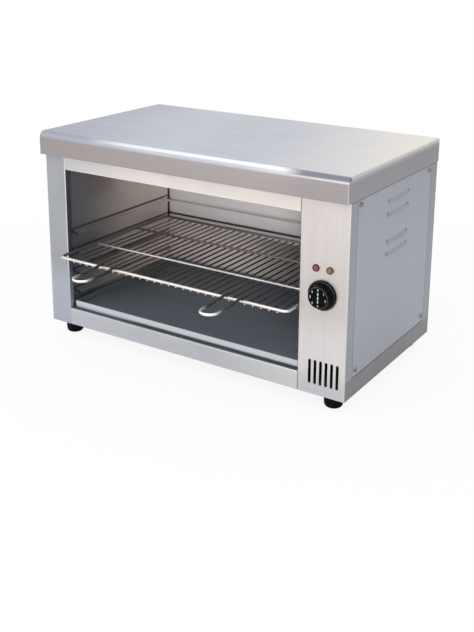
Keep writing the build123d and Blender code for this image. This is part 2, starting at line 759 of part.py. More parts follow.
with BuildPart() as roof_reflector:
    with BuildSketch(Plane.YZ.offset(liner_left - LINER_FLANGE)):
        with BuildLine():
            FilletPolyline(
                (liner_front, opening_top + SHEET + SEAM),
                (liner_front, cavity_roof + SHEET),
                (liner_rear + LINER_FLANGE, cavity_roof + SHEET),
                radius=BEND,
            )
            offset(amount=SHEET, side=Side.RIGHT)
        make_face()
    extrude(amount=liner_width + 2 * LINER_FLANGE)
    with BuildSketch(Plane.XY.offset(opening_top)):
        with Locations((liner_left, liner_front), (liner_right, liner_front)):
            Rectangle(2 * LINER_FLANGE, 4 * SHEET)
    extrude(amount=cavity_roof - opening_top, mode=Mode.SUBTRACT)
finish(roof_reflector, "roof_reflector")

floor_left = liner_left - SHEET - BEND
floor_right = liner_right + SHEET + BEND
floor_rear = liner_rear + SHEET
with BuildPart() as cavity_floor:
    with BuildSketch(Plane.XZ.offset(-liner_front)):
        with BuildLine():
            FilletPolyline(
                (floor_left, base_top),
                (floor_left, cavity_floor_top),
                (floor_right, cavity_floor_top),
                (floor_right, base_top),
                radius=BEND,
            )
            offset(amount=SHEET, side=Side.RIGHT)
        make_face()
    extrude(amount=-(floor_rear - liner_front))
    with BuildSketch(Plane.XY.offset(base_top)):
        with Locations((cavity_middle, liner_front), (cavity_middle, floor_rear)):
            Rectangle(liner_width + 6 * SHEET, 2 * FLOOR_LEG_MARGIN)
    extrude(amount=cavity_floor_top - base_top - SHEET - BEND, mode=Mode.SUBTRACT)
finish(cavity_floor, "cavity_floor")

# Mineral wool slabs around the lining
wool_front = liner_front + INSULATION_MARGIN
wool_length = liner_rear - INSULATION_MARGIN - wool_front
wool_height = cavity_roof - SHEET - cavity_floor_top - INSULATION_MARGIN

with BuildPart() as left_insulation:
    with Locations((liner_left - SHEET, wool_front, cavity_floor_top)):
        Box(INSULATION_THICKNESS, wool_length, wool_height, align=(Align.MAX, Align.MIN, Align.MIN))
finish(left_insulation, "left_insulation")

right_wool_height = element_level - BUSH_NUT_FLATS - cavity_floor_top
with BuildPart() as right_insulation:
    with Locations((liner_right + SHEET, wool_front, cavity_floor_top)):
        Box(
            RIGHT_INSULATION_THICKNESS,
            wool_length,
            right_wool_height,
            align=(Align.MIN, Align.MIN, Align.MIN),
        )
finish(right_insulation, "right_insulation")

with BuildPart() as rear_insulation:
    with Locations((cavity_middle, liner_rear + SHEET, cavity_floor_top)):
        Box(
            liner_width,
            REAR_INSULATION_THICKNESS,
            wool_height,
            align=(Align.CENTER, Align.MIN, Align.MIN),
        )
finish(rear_insulation, "rear_insulation")

with BuildPart() as roof_insulation:
    with Locations((cavity_middle, wool_front, cavity_roof + SHEET)):
        Box(
            liner_width,
            wool_length,
            ROOF_INSULATION_THICKNESS,
            align=(Align.CENTER, Align.MIN, Align.MIN),
        )
finish(roof_insulation, "roof_insulation")

# ---------------------------------------------------------------- heating elements


def heating_element(row):
    """Sheathed hairpin element with both ends through the right-hand lining."""
    loop_end = liner_left + ELEMENT_END_GAP + ELEMENT_TUBE / 2
    with BuildPart() as element:
        with BuildLine(Plane.XY.offset(element_level)) as route:
            FilletPolyline(
                (element_end, row - ELEMENT_LEGS / 2),
                (loop_end, row - ELEMENT_LEGS / 2),
                (loop_end, row + ELEMENT_LEGS / 2),
                (element_end, row + ELEMENT_LEGS / 2),
                radius=ELEMENT_BEND,
            )
        with BuildSketch(Plane(route.line @ 0, z_dir=route.line % 0)):
            Circle(ELEMENT_TUBE / 2)
        sweep(path=route.line)
    return element


front_heating_element = heating_element(element_rows[0])
finish(front_heating_element, "front_heating_element")
rear_heating_element = heating_element(element_rows[1])
finish(rear_heating_element, "rear_heating_element")

with BuildPart() as element_bushes:
    with BuildSketch(Plane.YZ.offset(liner_right - BUSH_SHOULDER_LENGTH)):
        with Locations(*element_spots):
            Circle(BUSH_SHOULDER / 2)
            Circle(ELEMENT_TUBE / 2 + SCREW_FIT, mode=Mode.SUBTRACT)
    extrude(amount=BUSH_SHOULDER_LENGTH)
    with BuildSketch(Plane.YZ.offset(liner_right)):
        with Locations(*element_spots):
            Circle(BUSH_SLEEVE / 2)
            Circle(ELEMENT_TUBE / 2 + SCREW_FIT, mode=Mode.SUBTRACT)
    extrude(amount=BUSH_LENGTH)
finish(element_bushes, "element_bushes")

bush_nut = hex_nut(BUSH_NUT_FLATS, BUSH_NUT_LENGTH, BUSH_SLEEVE + 2 * SCREW_FIT)
with BuildPart() as element_nuts:
    with Locations(Plane.YZ.offset(liner_right + SHEET)):
        with Locations(*element_spots):
            add(bush_nut)
finish(element_nuts, "element_nuts")

with BuildPart() as element_terminals:
    with BuildSketch(Plane.YZ.offset(element_end)):
        with Locations(*element_spots):
            Circle(STUD_BEAD / 2)
    extrude(amount=STUD_BEAD_LENGTH)
    with BuildSketch(Plane.YZ.offset(stud_start)):
        with Locations(*element_spots):
            Circle(STUD_DIAMETER / 2)
    extrude(amount=STUD_LENGTH)
finish(element_terminals, "element_terminals")

with BuildPart() as element_hangers:
    for side in (-1, 1):
        for row in element_rows:
            hanger_x = cavity_middle + side * HANGER_OFFSET
            hanger_width = ELEMENT_LEGS + ELEMENT_TUBE + 2 * HANGER_MARGIN
            hanger_low = element_level - ELEMENT_TUBE / 2 - HANGER_MARGIN / 2
            with BuildSketch(Plane.YZ.offset(hanger_x)):
                with Locations((row, hanger_low)):
                    Rectangle(
                        hanger_width,
                        cavity_roof - hanger_low,
                        align=(Align.CENTER, Align.MIN),
                    )
                with Locations(
                    (row - ELEMENT_LEGS / 2, element_level), (row + ELEMENT_LEGS / 2, element_level)
                ):
                    Circle(ELEMENT_TUBE / 2 + HANGER_FIT, mode=Mode.SUBTRACT)
            extrude(amount=HANGER_SHEET)
            with BuildSketch(Plane.XY.offset(cavity_roof - HANGER_SHEET)):
                with Locations((hanger_x, row)):
                    Rectangle(HANGER_FOOT, hanger_width, align=(Align.MIN, Align.CENTER))
            extrude(amount=HANGER_SHEET)
finish(element_hangers, "element_hangers")

# ---------------------------------------------------------------- controls

with BuildPart() as regulator_body:
    with BuildSketch(facing_front(panel_back)):
        with Locations((control_axis, knob_level)):
            RectangleRounded(REGULATOR_WIDTH, REGULATOR_HEIGHT, BEND)
    extrude(amount=-REGULATOR_DEPTH)
    with BuildSketch(facing_front(body_front)):
        with Locations((control_axis, knob_level)):
            Circle(REGULATOR_BUSH / 2)
    extrude(amount=-SHEET)
    with BuildSketch(facing_front(body_front)):
        with Locations((control_axis, knob_level)):
            Circle(SPINDLE / 2 + SPINDLE_FIT)
        with Locations(*regulator_screw_spots):
            Circle(SCREW_SHANK / 2 + SCREW_FIT)
    extrude(amount=-(SHEET + KNOB_BORE_DEPTH), mode=Mode.SUBTRACT)
    tab_spots = [
        (control_axis + side * REGULATOR_TAB_OFFSET, knob_level + side * REGULATOR_TAB_OFFSET)
        for side in (-1, 1)
    ]
    with BuildSketch(facing_front(regulator_rear)):
        with Locations(*tab_spots):
            Rectangle(REGULATOR_TAB_THICKNESS, REGULATOR_TAB)
    extrude(amount=-REGULATOR_TAB_LENGTH)
finish(regulator_body, "regulator_body")

knob_back = body_front - KNOB_GAP
knob_face = knob_back - KNOB_LENGTH
bore_end = knob_back - KNOB_BORE_DEPTH


def spindle_section(radial_gap):
    """D-shaped section of the spindle, or of its bore when a gap is given."""
    with BuildSketch(facing_front(body_front + KNOB_BORE_DEPTH)) as section:
        with Locations((control_axis, knob_level)):
            Circle(SPINDLE / 2 + radial_gap)
        with Locations((control_axis, knob_level + SPINDLE / 2 - SPINDLE_FLAT + radial_gap)):
            Rectangle(SPINDLE * 2, SPINDLE, align=(Align.CENTER, Align.MIN), mode=Mode.SUBTRACT)
    return section.sketch


with BuildPart() as regulator_spindle:
    spindle_length = body_front + KNOB_BORE_DEPTH - bore_end - SEAT_GAP
    extrude(spindle_section(0), amount=spindle_length)
finish(regulator_spindle, "regulator_spindle")

with BuildPart() as control_knob:
    knob_axis = Plane(
        origin=(control_axis, knob_back, knob_level), x_dir=(1, 0, 0), z_dir=(0, 0, 1)
    )
    with BuildSketch(knob_axis):
        with BuildLine():
            Polyline(
                (0, 0),
                (KNOB_SKIRT / 2, 0),
                (KNOB_SKIRT / 2, -KNOB_SKIRT_THICKNESS),
                (KNOB_BODY_BASE / 2, -KNOB_SKIRT_THICKNESS),
                (KNOB_BODY_FACE / 2, -KNOB_LENGTH),
                (0, -KNOB_LENGTH),
                close=True,
            )
        make_face()
    turning_axis = Axis((control_axis, 0, knob_level), (0, 1, 0))
    revolve(axis=turning_axis)
    rims = control_knob.edges().filter_by(GeomType.CIRCLE).sort_by(Axis.Y)
    fillet([rims[0], rims[-2]], KNOB_EDGE)
    with BuildSketch(facing_front(knob_back)):
        with Locations((control_axis, knob_level)):
            Circle(KNOB_DISH / 2)
            Circle(SPINDLE, mode=Mode.SUBTRACT)
    extrude(amount=KNOB_DISH_DEPTH, mode=Mode.SUBTRACT)
    extrude(
        spindle_section(SPINDLE_FIT),
        amount=body_front + KNOB_BORE_DEPTH - bore_end,
        mode=Mode.SUBTRACT,
    )
finish(control_knob, "control_knob")

regulator_screw = pan_screw(SCREW_LENGTH)
with BuildPart() as regulator_screws:
    with Locations(facing_front(body_front)):
        with Locations(*regulator_screw_spots):
            add(regulator_screw)
finish(regulator_screws, "regulator_screws")


def lamp_lens(spot):
    """Domed lens with a rim on the panel and a shank through it."""
    with BuildPart() as lens:
        with BuildSketch(facing_front(body_front)):
            with Locations(spot):
                Circle(LAMP_LENS / 2)
        extrude(amount=LAMP_LENS_RIM + LAMP_LENS_DOME)
        crown = lens.edges().sort_by(Axis.Y)[0]
        fillet(crown, LAMP_LENS_DOME)
        with BuildSketch(facing_front(body_front)):
            with Locations(spot):
                Circle(LAMP_SHANK / 2)
        extrude(amount=-LAMP_SHANK_LENGTH)
    return lens


red_lamp_lens = lamp_lens(lamp_spots[0])
finish(red_lamp_lens, "red_lamp_lens")
amber_lamp_lens = lamp_lens(lamp_spots[1])
finish(amber_lamp_lens, "amber_lamp_lens")

with BuildPart() as lamp_bezels:
    with BuildSketch(facing_front(body_front)):
        with Locations(*lamp_spots):
            Circle(LAMP_BEZEL / 2)
            Circle(LAMP_LENS / 2 + LAMP_FIT, mode=Mode.SUBTRACT)
    extrude(amount=LAMP_BEZEL_THICKNESS)
finish(lamp_bezels, "lamp_bezels")

lamp_body_front = body_front + LAMP_SHANK_LENGTH
with BuildPart() as lamp_bodies:
    with BuildSketch(facing_front(lamp_body_front)):
        with Locations(*lamp_spots):
            Circle(LAMP_BODY / 2)
    extrude(amount=-LAMP_BODY_LENGTH)
    with BuildSketch(facing_front(lamp_body_front + LAMP_BODY_LENGTH)):
        with Locations(*lamp_spots):
            with GridLocations(LAMP_BODY / 2, 0, 2, 1):
                Rectangle(REGULATOR_TAB_THICKNESS, REGULATOR_TAB)
    extrude(amount=-REGULATOR_TAB_LENGTH)
finish(lamp_bodies, "lamp_bodies")

with BuildPart() as lamp_clips:
    with BuildSketch(facing_front(panel_back)):
        with Locations(*lamp_spots):
            Circle(LAMP_CLIP / 2)
            Circle(LAMP_SHANK / 2 + SCREW_FIT, mode=Mode.SUBTRACT)
    extrude(amount=-LAMP_CLIP_THICKNESS)
finish(lamp_clips, "lamp_clips")

# ---------------------------------------------------------------- supply entry and wiring

gland_plane = facing_rear(body_rear)
with BuildPart() as cable_gland:
    with BuildSketch(gland_plane):
        with Locations((-control_axis, gland_level)):
            RegularPolygon(GLAND_FLATS / 2, 6, major_radius=False)
    extrude(amount=GLAND_HEX_LENGTH)
    with BuildSketch(gland_plane):
        with Locations((-control_axis, gland_level)):
            Circle(GLAND_THREAD / 2)
    extrude(amount=-GLAND_SHANK)
    with BuildSketch(facing_rear(body_rear + GLAND_HEX_LENGTH)):
        with Locations((-control_axis, gland_level)):
            Circle(GLAND_DOME / 2)
    with BuildSketch(facing_rear(body_rear + GLAND_HEX_LENGTH + GLAND_DOME_LENGTH)):
        with Locations((-control_axis, gland_level)):
            Circle(GLAND_DOME_END / 2)
    loft()
    with BuildSketch(facing_rear(body_rear - GLAND_SHANK)):
        with Locations((-control_axis, gland_level)):
            Circle(GLAND_BORE / 2)
    extrude(amount=GLAND_SHANK + gland_reach, mode=Mode.SUBTRACT)
finish(cable_gland, "cable_gland")

gland_nut = hex_nut(LOCKNUT_FLATS, LOCKNUT_LENGTH, GLAND_THREAD + 2 * SCREW_FIT)
with BuildPart() as gland_locknut:
    with Locations(facing_front(body_rear - SHEET)):
        with Locations((control_axis, gland_level)):
            add(gland_nut)
finish(gland_locknut, "gland_locknut")

block_top = base_top + BLOCK_HEIGHT
pole_spots = [
    (block_middle[0] + (pole - (BLOCK_POLES - 1) / 2) * BLOCK_POLE_PITCH, block_middle[1])
    for pole in range(BLOCK_POLES)
]
with BuildPart() as terminal_block:
    with BuildSketch(Plane.XY.offset(base_top)):
        with Locations(block_middle):
            Rectangle(BLOCK_WIDTH, BLOCK_DEPTH)
    extrude(amount=BLOCK_HEIGHT)
    with BuildSketch(Plane.XY.offset(block_top)):
        with Locations(*pole_spots):
            Circle(BLOCK_POLE_BORE / 2)
    extrude(amount=-BLOCK_POLE_DEPTH, mode=Mode.SUBTRACT)
finish(terminal_block, "terminal_block")

with BuildPart() as earth_stud:
    with BuildSketch(Plane.XY.offset(body_bottom + SHEET)):
        with Locations(earth_spot):
            Circle(EARTH_STUD / 2)
    extrude(amount=EARTH_STUD_LENGTH)
finish(earth_stud, "earth_stud")

earth_lock = hex_nut(EARTH_NUT_FLATS, EARTH_NUT_LENGTH, EARTH_STUD + 2 * SCREW_FIT)
with BuildPart() as earth_nut:
    with Locations((*earth_spot, base_top)):
        add(earth_lock)
finish(earth_nut, "earth_nut")


def lead(*points):
    """One insulated lead along straight runs joined by tangent arcs."""
    with BuildPart() as wire:
        with BuildLine() as route:
            FilletPolyline(*points, radius=LEAD_BEND)
        with BuildSketch(Plane(route.line @ 0, z_dir=route.line % 0)):
            Circle(LEAD / 2)
        sweep(path=route.line)
    return wire.part


lead_seat = block_top - BLOCK_POLE_DEPTH
tab_end = regulator_rear + REGULATOR_TAB_LENGTH
tab_low, tab_high = tab_spots
link_x = stud_end + LINK_REACH
with BuildPart() as internal_leads:
    add(
        lead(
            (*pole_spots[0], lead_seat),
            (*pole_spots[0], LEAD_RISE),
            (tab_low[0], tab_end + LEAD_REACH, tab_low[1]),
            (tab_low[0], tab_end, tab_low[1]),
        )
    )
    add(
        lead(
            (tab_high[0], tab_end, tab_high[1]),
            (tab_high[0], tab_end + LEAD_REACH, tab_high[1]),
            (link_x, element_legs[0], element_level),
            (stud_end, element_legs[0], element_level),
        )
    )
    add(
        lead(
            (stud_end, element_legs[1], element_level),
            (link_x, element_legs[1], element_level),
            (link_x, element_legs[2], element_level),
            (stud_end, element_legs[2], element_level),
        )
    )
    add(
        lead(
            (*pole_spots[2], lead_seat),
            (*pole_spots[2], LEAD_RISE),
            (link_x, element_legs[3], element_level),
            (stud_end, element_legs[3], element_level),
        )
    )
finish(internal_leads, "internal_leads")

# ---------------------------------------------------------------- feet

with BuildPart() as foot:
    with BuildSketch():
        Circle(FOOT_BOTTOM / 2)
    with BuildSketch(Plane.XY.offset(FOOT_HEIGHT)):
        Circle(FOOT_TOP / 2)
    loft()
    fillet(foot.edges().group_by(Axis.Z)[0], FOOT_EDGE)
    with Locations((0, 0, FOOT_HEIGHT)):
        Hole(FOOT_SCREW / 2 + SCREW_FIT)
    with BuildSketch():
        Circle(FOOT_SCREW_HEAD / 2 + SCREW_FIT)
    extrude(amount=FOOT_HEIGHT - FOOT_SCREW_SEAT, mode=Mode.SUBTRACT)

with BuildPart() as rubber_feet:
    with Locations(*foot_spots):
        add(foot.part)
finish(rubber_feet, "rubber_feet")

foot_screw_seat = FOOT_HEIGHT - FOOT_SCREW_SEAT
foot_screw_top = base_top + FOOT_NUT_LENGTH + SHEET
with BuildPart() as foot_screws:
    with BuildSketch(Plane.XY.offset(foot_screw_seat - FOOT_SCREW_HEAD_HEIGHT)):
        with Locations(*foot_spots):
            Circle(FOOT_SCREW_HEAD / 2)
    extrude(amount=FOOT_SCREW_HEAD_HEIGHT)
    with BuildSketch(Plane.XY.offset(foot_screw_seat)):
        with Locations(*foot_spots):
            Circle(FOOT_SCREW / 2)
    extrude(amount=foot_screw_top - foot_screw_seat)
finish(foot_screws, "foot_screws")

foot_lock = hex_nut(FOOT_NUT_FLATS, FOOT_NUT_LENGTH, FOOT_SCREW + 2 * SCREW_FIT)
with BuildPart() as foot_nuts:
    with Locations(*[(x, y, base_top) for x, y in foot_spots]):
        add(foot_lock)
finish(foot_nuts, "foot_nuts")

# ---------------------------------------------------------------- wire rack and its handles

rack_middle = (cavity_middle, (rack_front + rack_rear) / 2)
rod_level = rack_level - (RACK_FRAME_WIRE + RACK_ROD) / 2 + WELD_BITE
cross_level = rod_level + (RACK_ROD + RACK_CROSS_WIRE) / 2 - WELD_BITE
cross_rows = (rack_front + RACK_CROSS_SETBACK, rack_rear - RACK_CROSS_SETBACK)

with BuildPart() as wire_rack:
    with BuildSketch(Plane.XY.offset(rack_level), mode=Mode.PRIVATE) as rack_outline:
        with Locations(rack_middle):
            RectangleRounded(rack_width, rack_depth, RACK_CORNER)
    frame_path = rack_outline.sketch.wires()[0]
    with BuildSketch(Plane(frame_path @ 0, z_dir=frame_path % 0)):
        Circle(RACK_FRAME_WIRE / 2)
    sweep(path=frame_path)
    rod_length = rack_depth + 2 * RACK_ROD_END
    with Locations((*rack_middle, rod_level)):
        with GridLocations(RACK_ROD_PITCH, 0, rod_count, 1):
            Cylinder(RACK_ROD / 2, rod_length, rotation=(90, 0, 0))
    with Locations(*[(cavity_middle, row, cross_level) for row in cross_rows]):
        Cylinder(RACK_CROSS_WIRE / 2, rack_width, rotation=(0, 90, 0))
finish(wire_rack, "wire_rack")


def rack_handle(middle):
    """U-shaped wire loop, its two legs bent up over the front wire of the rack."""
    over = rack_level + (RACK_FRAME_WIRE + HANDLE_WIRE) / 2
    half = HANDLE_WIDTH / 2
    tip = rack_front - HANDLE_REACH
    foot_of_ramp = rack_front - HANDLE_TAIL - HANDLE_RAMP
    leg = [
        (rack_front + HANDLE_TAIL, over),
        (rack_front - HANDLE_TAIL, over),
        (foot_of_ramp, over - HANDLE_DROP),
        (tip, over - HANDLE_DROP),
    ]
    left_leg = [(middle - half, y, z) for y, z in leg]
    right_leg = [(middle + half, y, z) for y, z in reversed(leg)]
    loop_bend = half - WELD_BITE
    bends = [HANDLE_RAMP_BEND, HANDLE_RAMP_BEND, loop_bend, loop_bend] + [HANDLE_RAMP_BEND] * 2
    with BuildPart() as handle:
        with BuildLine() as route:
            FilletPolyline(*left_leg, *right_leg, radius=bends)
        with BuildSketch(Plane(route.line @ 0, z_dir=route.line % 0)):
            Circle(HANDLE_WIRE / 2)
        sweep(path=route.line)
    return handle


left_rack_handle = rack_handle(cavity_middle - LEFT_HANDLE_OFFSET)
finish(left_rack_handle, "left_rack_handle")
right_rack_handle = rack_handle(cavity_middle + RIGHT_HANDLE_OFFSET)
finish(right_rack_handle, "right_rack_handle")

# ---------------------------------------------------------------- crumb tray

tray_front = body_front + TRAY_RECESS
tray_depth = liner_rear - TRAY_REAR_GAP - tray_front
tray_width = opening_right - opening_left - 2 * TRAY_SIDE_GAP
tray_bottom = cavity_floor_top + SEAT_GAP

with BuildPart() as crumb_tray:
    with BuildSketch(Plane.XY.offset(tray_bottom)):
        with Locations((cavity_middle, tray_front + tray_depth / 2)):
            RectangleRounded(tray_width, tray_depth, TRAY_CORNER)
    extrude(amount=TRAY_HEIGHT)
    inner_depth = tray_depth - TRAY_HEM - TRAY_SHEET
    with BuildSketch(Plane.XY.offset(tray_bottom + TRAY_SHEET)):
        with Locations((cavity_middle, tray_front + TRAY_HEM + inner_depth / 2)):
            RectangleRounded(tray_width - 2 * TRAY_SHEET, inner_depth, TRAY_CORNER - TRAY_SHEET)
    extrude(amount=TRAY_HEIGHT, mode=Mode.SUBTRACT)
finish(crumb_tray, "crumb_tray")
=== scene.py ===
"""Cheese melter: finishes, wires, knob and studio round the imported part, in its frame and in metres."""

import logging
import math
from dataclasses import dataclass
from enum import Enum
from typing import Any, Optional, Sequence

import bmesh
import bpy
import numpy as np
from mathutils import Matrix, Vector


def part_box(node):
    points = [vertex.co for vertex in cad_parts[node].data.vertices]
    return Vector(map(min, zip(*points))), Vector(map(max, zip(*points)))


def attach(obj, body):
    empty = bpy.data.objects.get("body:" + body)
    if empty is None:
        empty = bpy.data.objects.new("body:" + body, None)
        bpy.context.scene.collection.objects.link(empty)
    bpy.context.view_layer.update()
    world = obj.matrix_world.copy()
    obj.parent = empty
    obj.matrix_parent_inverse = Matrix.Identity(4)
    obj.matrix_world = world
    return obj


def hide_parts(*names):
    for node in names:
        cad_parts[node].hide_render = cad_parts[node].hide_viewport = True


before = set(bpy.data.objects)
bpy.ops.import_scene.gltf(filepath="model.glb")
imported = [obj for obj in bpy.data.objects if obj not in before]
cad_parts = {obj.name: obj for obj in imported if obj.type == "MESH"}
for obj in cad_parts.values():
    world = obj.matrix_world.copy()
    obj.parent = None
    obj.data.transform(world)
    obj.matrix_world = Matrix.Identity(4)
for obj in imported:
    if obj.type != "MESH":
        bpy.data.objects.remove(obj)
LOG = logging.getLogger("cheese_melter")
Colour = tuple[float, float, float, float]
Point = tuple[float, float, float]
Surface = tuple[np.ndarray, np.ndarray]
Socket = bpy.types.NodeSocket
MM = 0.001
# Points nearer to each other than this, in metres, are one.
SAME_POINT = 1e-6
RIGHTWARD: Point = (1.0, 0.0, 0.0)
LEFTWARD: Point = (-1.0, 0.0, 0.0)
FORWARD: Point = (0.0, -1.0, 0.0)
BACKWARD: Point = (0.0, 1.0, 0.0)
DOWNWARD: Point = (0.0, 0.0, -1.0)


def rgb(red: int, green: int, blue: int) -> Colour:
    """Linear colour of a display colour.

    Args:
        red, green, blue: display values from 0 to 255.

    Returns:
        The linear colour with alpha 1.
    """
    shown = np.array([red, green, blue], float) / 255.0
    linear = np.where(shown <= 0.04045, shown / 12.92, ((shown + 0.055) / 1.055) ** 2.4)
    return (float(linear[0]), float(linear[1]), float(linear[2]), 1.0)


class Axis(Enum):
    """Direction that brushing, wire drawing or a row of copies runs in."""

    X = (1.0, 0.0, 0.0)
    Y = (0.0, 1.0, 0.0)
    Z = (0.0, 0.0, 1.0)

    def stretch(self, along: float, across: float) -> Point:
        """Scale of a Mapping node that draws a pattern out along this axis."""
        return tuple(along if part else across for part in self.value)

    def row(self, steps: np.ndarray) -> np.ndarray:
        """Offsets of the given lengths along this axis."""
        return steps[:, None] * np.array(self.value)


# ------------------------------------------------------------------ node trees


class Tree:
    """A node tree with short calls to add and link nodes."""

    def __init__(self, tree: bpy.types.NodeTree) -> None:
        """Keeps the tree that the calls work on."""
        self.tree = tree

    @classmethod
    def cleared(cls, owner: bpy.types.ID) -> "Tree":
        """The emptied node tree of a material or a world."""
        owner.use_nodes = True
        owner.node_tree.nodes.clear()
        return cls(owner.node_tree)

    def feed(self, node: bpy.types.Node, inputs: dict[Any, Any]) -> None:
        """Fills the inputs of a node.

        Args:
            node: the node.
            inputs: a value or an output socket for each input, by name or number.
        """
        for key, value in inputs.items():
            if isinstance(value, Socket):
                self.tree.links.new(value, node.inputs[key])
            else:
                node.inputs[key].default_value = value

    def add(self, kind: str, inputs: dict[Any, Any], **settings: Any) -> bpy.types.Node:
        """Adds a node.

        Args:
            kind: the node's type name, without its first words ShaderNode.
            inputs: what feed takes.
            settings: the node's own properties.

        Returns:
            The node.
        """
        node = self.tree.nodes.new(f"ShaderNode{kind}")
        for key, value in settings.items():
            setattr(node, key, value)
        self.feed(node, inputs)
        return node

    def mix(self, factor: Any, first: Any, second: Any, blend: str = "MIX") -> Socket:
        """Mixes two colours."""
        inputs = {0: factor, 6: first, 7: second}
        return self.add("Mix", inputs, data_type="RGBA", blend_type=blend).outputs[2]

    def number(self, operation: str, first: Any, second: Any) -> Socket:
        """Works out a number from two numbers."""
        return self.add("Math", {0: first, 1: second}, operation=operation).outputs[0]

    def vector(self, operation: str, first: Any, second: Any = (0.0, 0.0, 0.0)) -> Socket:
        """Works out a vector from one or two vectors."""
        return self.add("VectorMath", {0: first, 1: second}, operation=operation).outputs["Vector"]

    def span(self, value: Any, low: Any, high: Any, start: float = 0.0, end: float = 1.0) -> Socket:
        """Maps a value from low..high to start..end by a smooth step, held at both ends."""
        inputs = {"Value": value, "From Min": low, "From Max": high, "To Min": start, "To Max": end}
        return self.add("MapRange", inputs, interpolation_type="SMOOTHSTEP").outputs["Result"]


class Effects:
    """Shader node groups that the finishes share."""

    made: dict[str, bpy.types.NodeTree] = {}
    blotch_range: tuple[float, float] = (0.38, 0.64)
    scuff_width: float = 0.02

    @classmethod
    def group(cls, name: str, inputs: dict[str, str], outputs: Sequence[str]) -> tuple[Tree, Any, Any]:
        """Starts a group.

        Args:
            name: name of the group.
            inputs: socket type of each input.
            outputs: names of the outputs, which are numbers.

        Returns:
            The tree, the sockets that bring its inputs, and its output node.
        """
        tree = bpy.data.node_groups.new(name, "ShaderNodeTree")
        for way, sockets in (("INPUT", inputs), ("OUTPUT", dict.fromkeys(outputs, "Float"))):
            for socket, kind in sockets.items():
                tree.interface.new_socket(name=socket, in_out=way, socket_type=f"NodeSocket{kind}")
        cls.made[name] = tree
        return Tree(tree), tree.nodes.new("NodeGroupInput").outputs, tree.nodes.new("NodeGroupOutput")

    @classmethod
    def use(cls, tree: Tree, name: str, inputs: dict[str, Any]) -> Any:
        """Places a group in a material with its own values and gives its outputs."""
        return tree.add("Group", inputs, node_tree=cls.made[name]).outputs

    @classmethod
    def build(cls) -> None:
        """Makes every group once."""
        cls.grain()
        cls.blotches()
        cls.fade()
        cls.patch()
        cls.scuffs()

    @classmethod
    def grain(cls) -> None:
        """Fine noise, and a softer one of the same place."""
        tree, given, out = cls.group("grain", {"Vector": "Vector"}, ("Fine", "Soft"))
        fine = tree.add("TexNoise", {"Vector": given[0], "Scale": 1.0, "Detail": 3.0, "Roughness": 0.65})
        soft = tree.add("TexNoise", {"Vector": given[0], "Scale": 0.16, "Detail": 2.0})
        tree.feed(out, {0: fine.outputs[0], 1: soft.outputs[0]})

    @classmethod
    def blotches(cls) -> None:
        """Large soft spots: noise, stepped up over blotch_range."""
        tree, given, out = cls.group("blotches", {"Vector": "Vector", "Scale": "Float"}, ("Mask",))
        cloud = tree.add("TexNoise", {"Vector": given[0], "Scale": given[1], "Detail": 4.0})
        tree.feed(out, {0: tree.span(cloud.outputs[0], *cls.blotch_range)})

    @classmethod
    def fade(cls) -> None:
        """Smooth step of the place's dot product with a direction."""
        sockets = {"Vector": "Vector", "Direction": "Vector", "Start": "Float", "End": "Float"}
        tree, given, out = cls.group("fade", sockets, ("Mask",))
        place = tree.add("VectorMath", {0: given[0], 1: given[1]}, operation="DOT_PRODUCT")
        tree.feed(out, {0: tree.span(place.outputs["Value"], given[2], given[3])})

    @classmethod
    def patch(cls) -> None:
        """Box mask: smooth step down of the largest of (|place - middle| - half) / soft over the axes."""
        sockets = dict.fromkeys(("Vector", "Middle", "Half", "Soft"), "Vector")
        tree, given, out = cls.group("patch", sockets, ("Mask",))
        off = tree.vector("ABSOLUTE", tree.vector("SUBTRACT", given[0], given[1]))
        off = tree.vector("DIVIDE", tree.vector("SUBTRACT", off, given[2]), given[3])
        part = tree.add("SeparateXYZ", {0: off}).outputs
        most = tree.number("MAXIMUM", tree.number("MAXIMUM", part[0], part[1]), part[2])
        tree.feed(out, {0: tree.span(most, 0.0, 1.0, 1.0, 0.0)})

    @classmethod
    def scuffs(cls) -> None:
        """Thin bent lines: the edges of cells in a distorted space."""
        tree, given, out = cls.group("scuffs", {"Vector": "Vector", "Amount": "Float"}, ("Mask",))
        bent = tree.add("TexNoise", {"Vector": given[0], "Scale": 9.0, "Distortion": 1.5})
        cells = {"Vector": bent.outputs["Color"], "Scale": 14.0}
        lines = tree.add("TexVoronoi", cells, feature="DISTANCE_TO_EDGE")
        thin = tree.span(lines.outputs["Distance"], 0.0, cls.scuff_width, 1.0, 0.0)
        tree.feed(out, {0: tree.number("MULTIPLY", thin, given[1])})


@dataclass(frozen=True)
class Fade:
    """A second colour that comes in along a direction.

    Fields: the colour, the direction, where it starts and is full, in metres, and its share there.
    """

    colour: Colour
    direction: Point
    start: float
    end: float
    share: float = 1.0

    def mask(self, tree: Tree, place: Socket) -> Socket:
        """Where the colour lies, from 0 to 1; see Patch.mask."""
        inputs = {"Vector": place, "Direction": self.direction, "Start": self.start, "End": self.end}
        return Effects.use(tree, "fade", inputs)[0]


@dataclass(frozen=True)
class Patch:
    """A second colour inside a box whose edges fade out.

    Fields: the colour, two opposite corners in millimetres, the width of the fading edge and its share.
    """

    colour: Colour
    low: Point
    high: Point
    soft: Point = (1.0, 1.0, 1.0)
    share: float = 1.0

    def mask(self, tree: Tree, place: Socket) -> Socket:
        """Where the colour lies.

        Args:
            tree: the material's tree.
            place: object coordinates.

        Returns:
            A socket with values from 0 to 1.
        """
        low, high, soft = (np.array(corner) * MM for corner in (self.low, self.high, self.soft))
        middle, half = (low + high) / 2, (high - low) / 2
        inputs = {"Vector": place, "Middle": tuple(middle), "Half": tuple(half), "Soft": tuple(soft)}
        return Effects.use(tree, "patch", inputs)[0]


# More millimetres than the machine measures: a patch that reaches this far has no edge on that side.
ALL = 2000.0


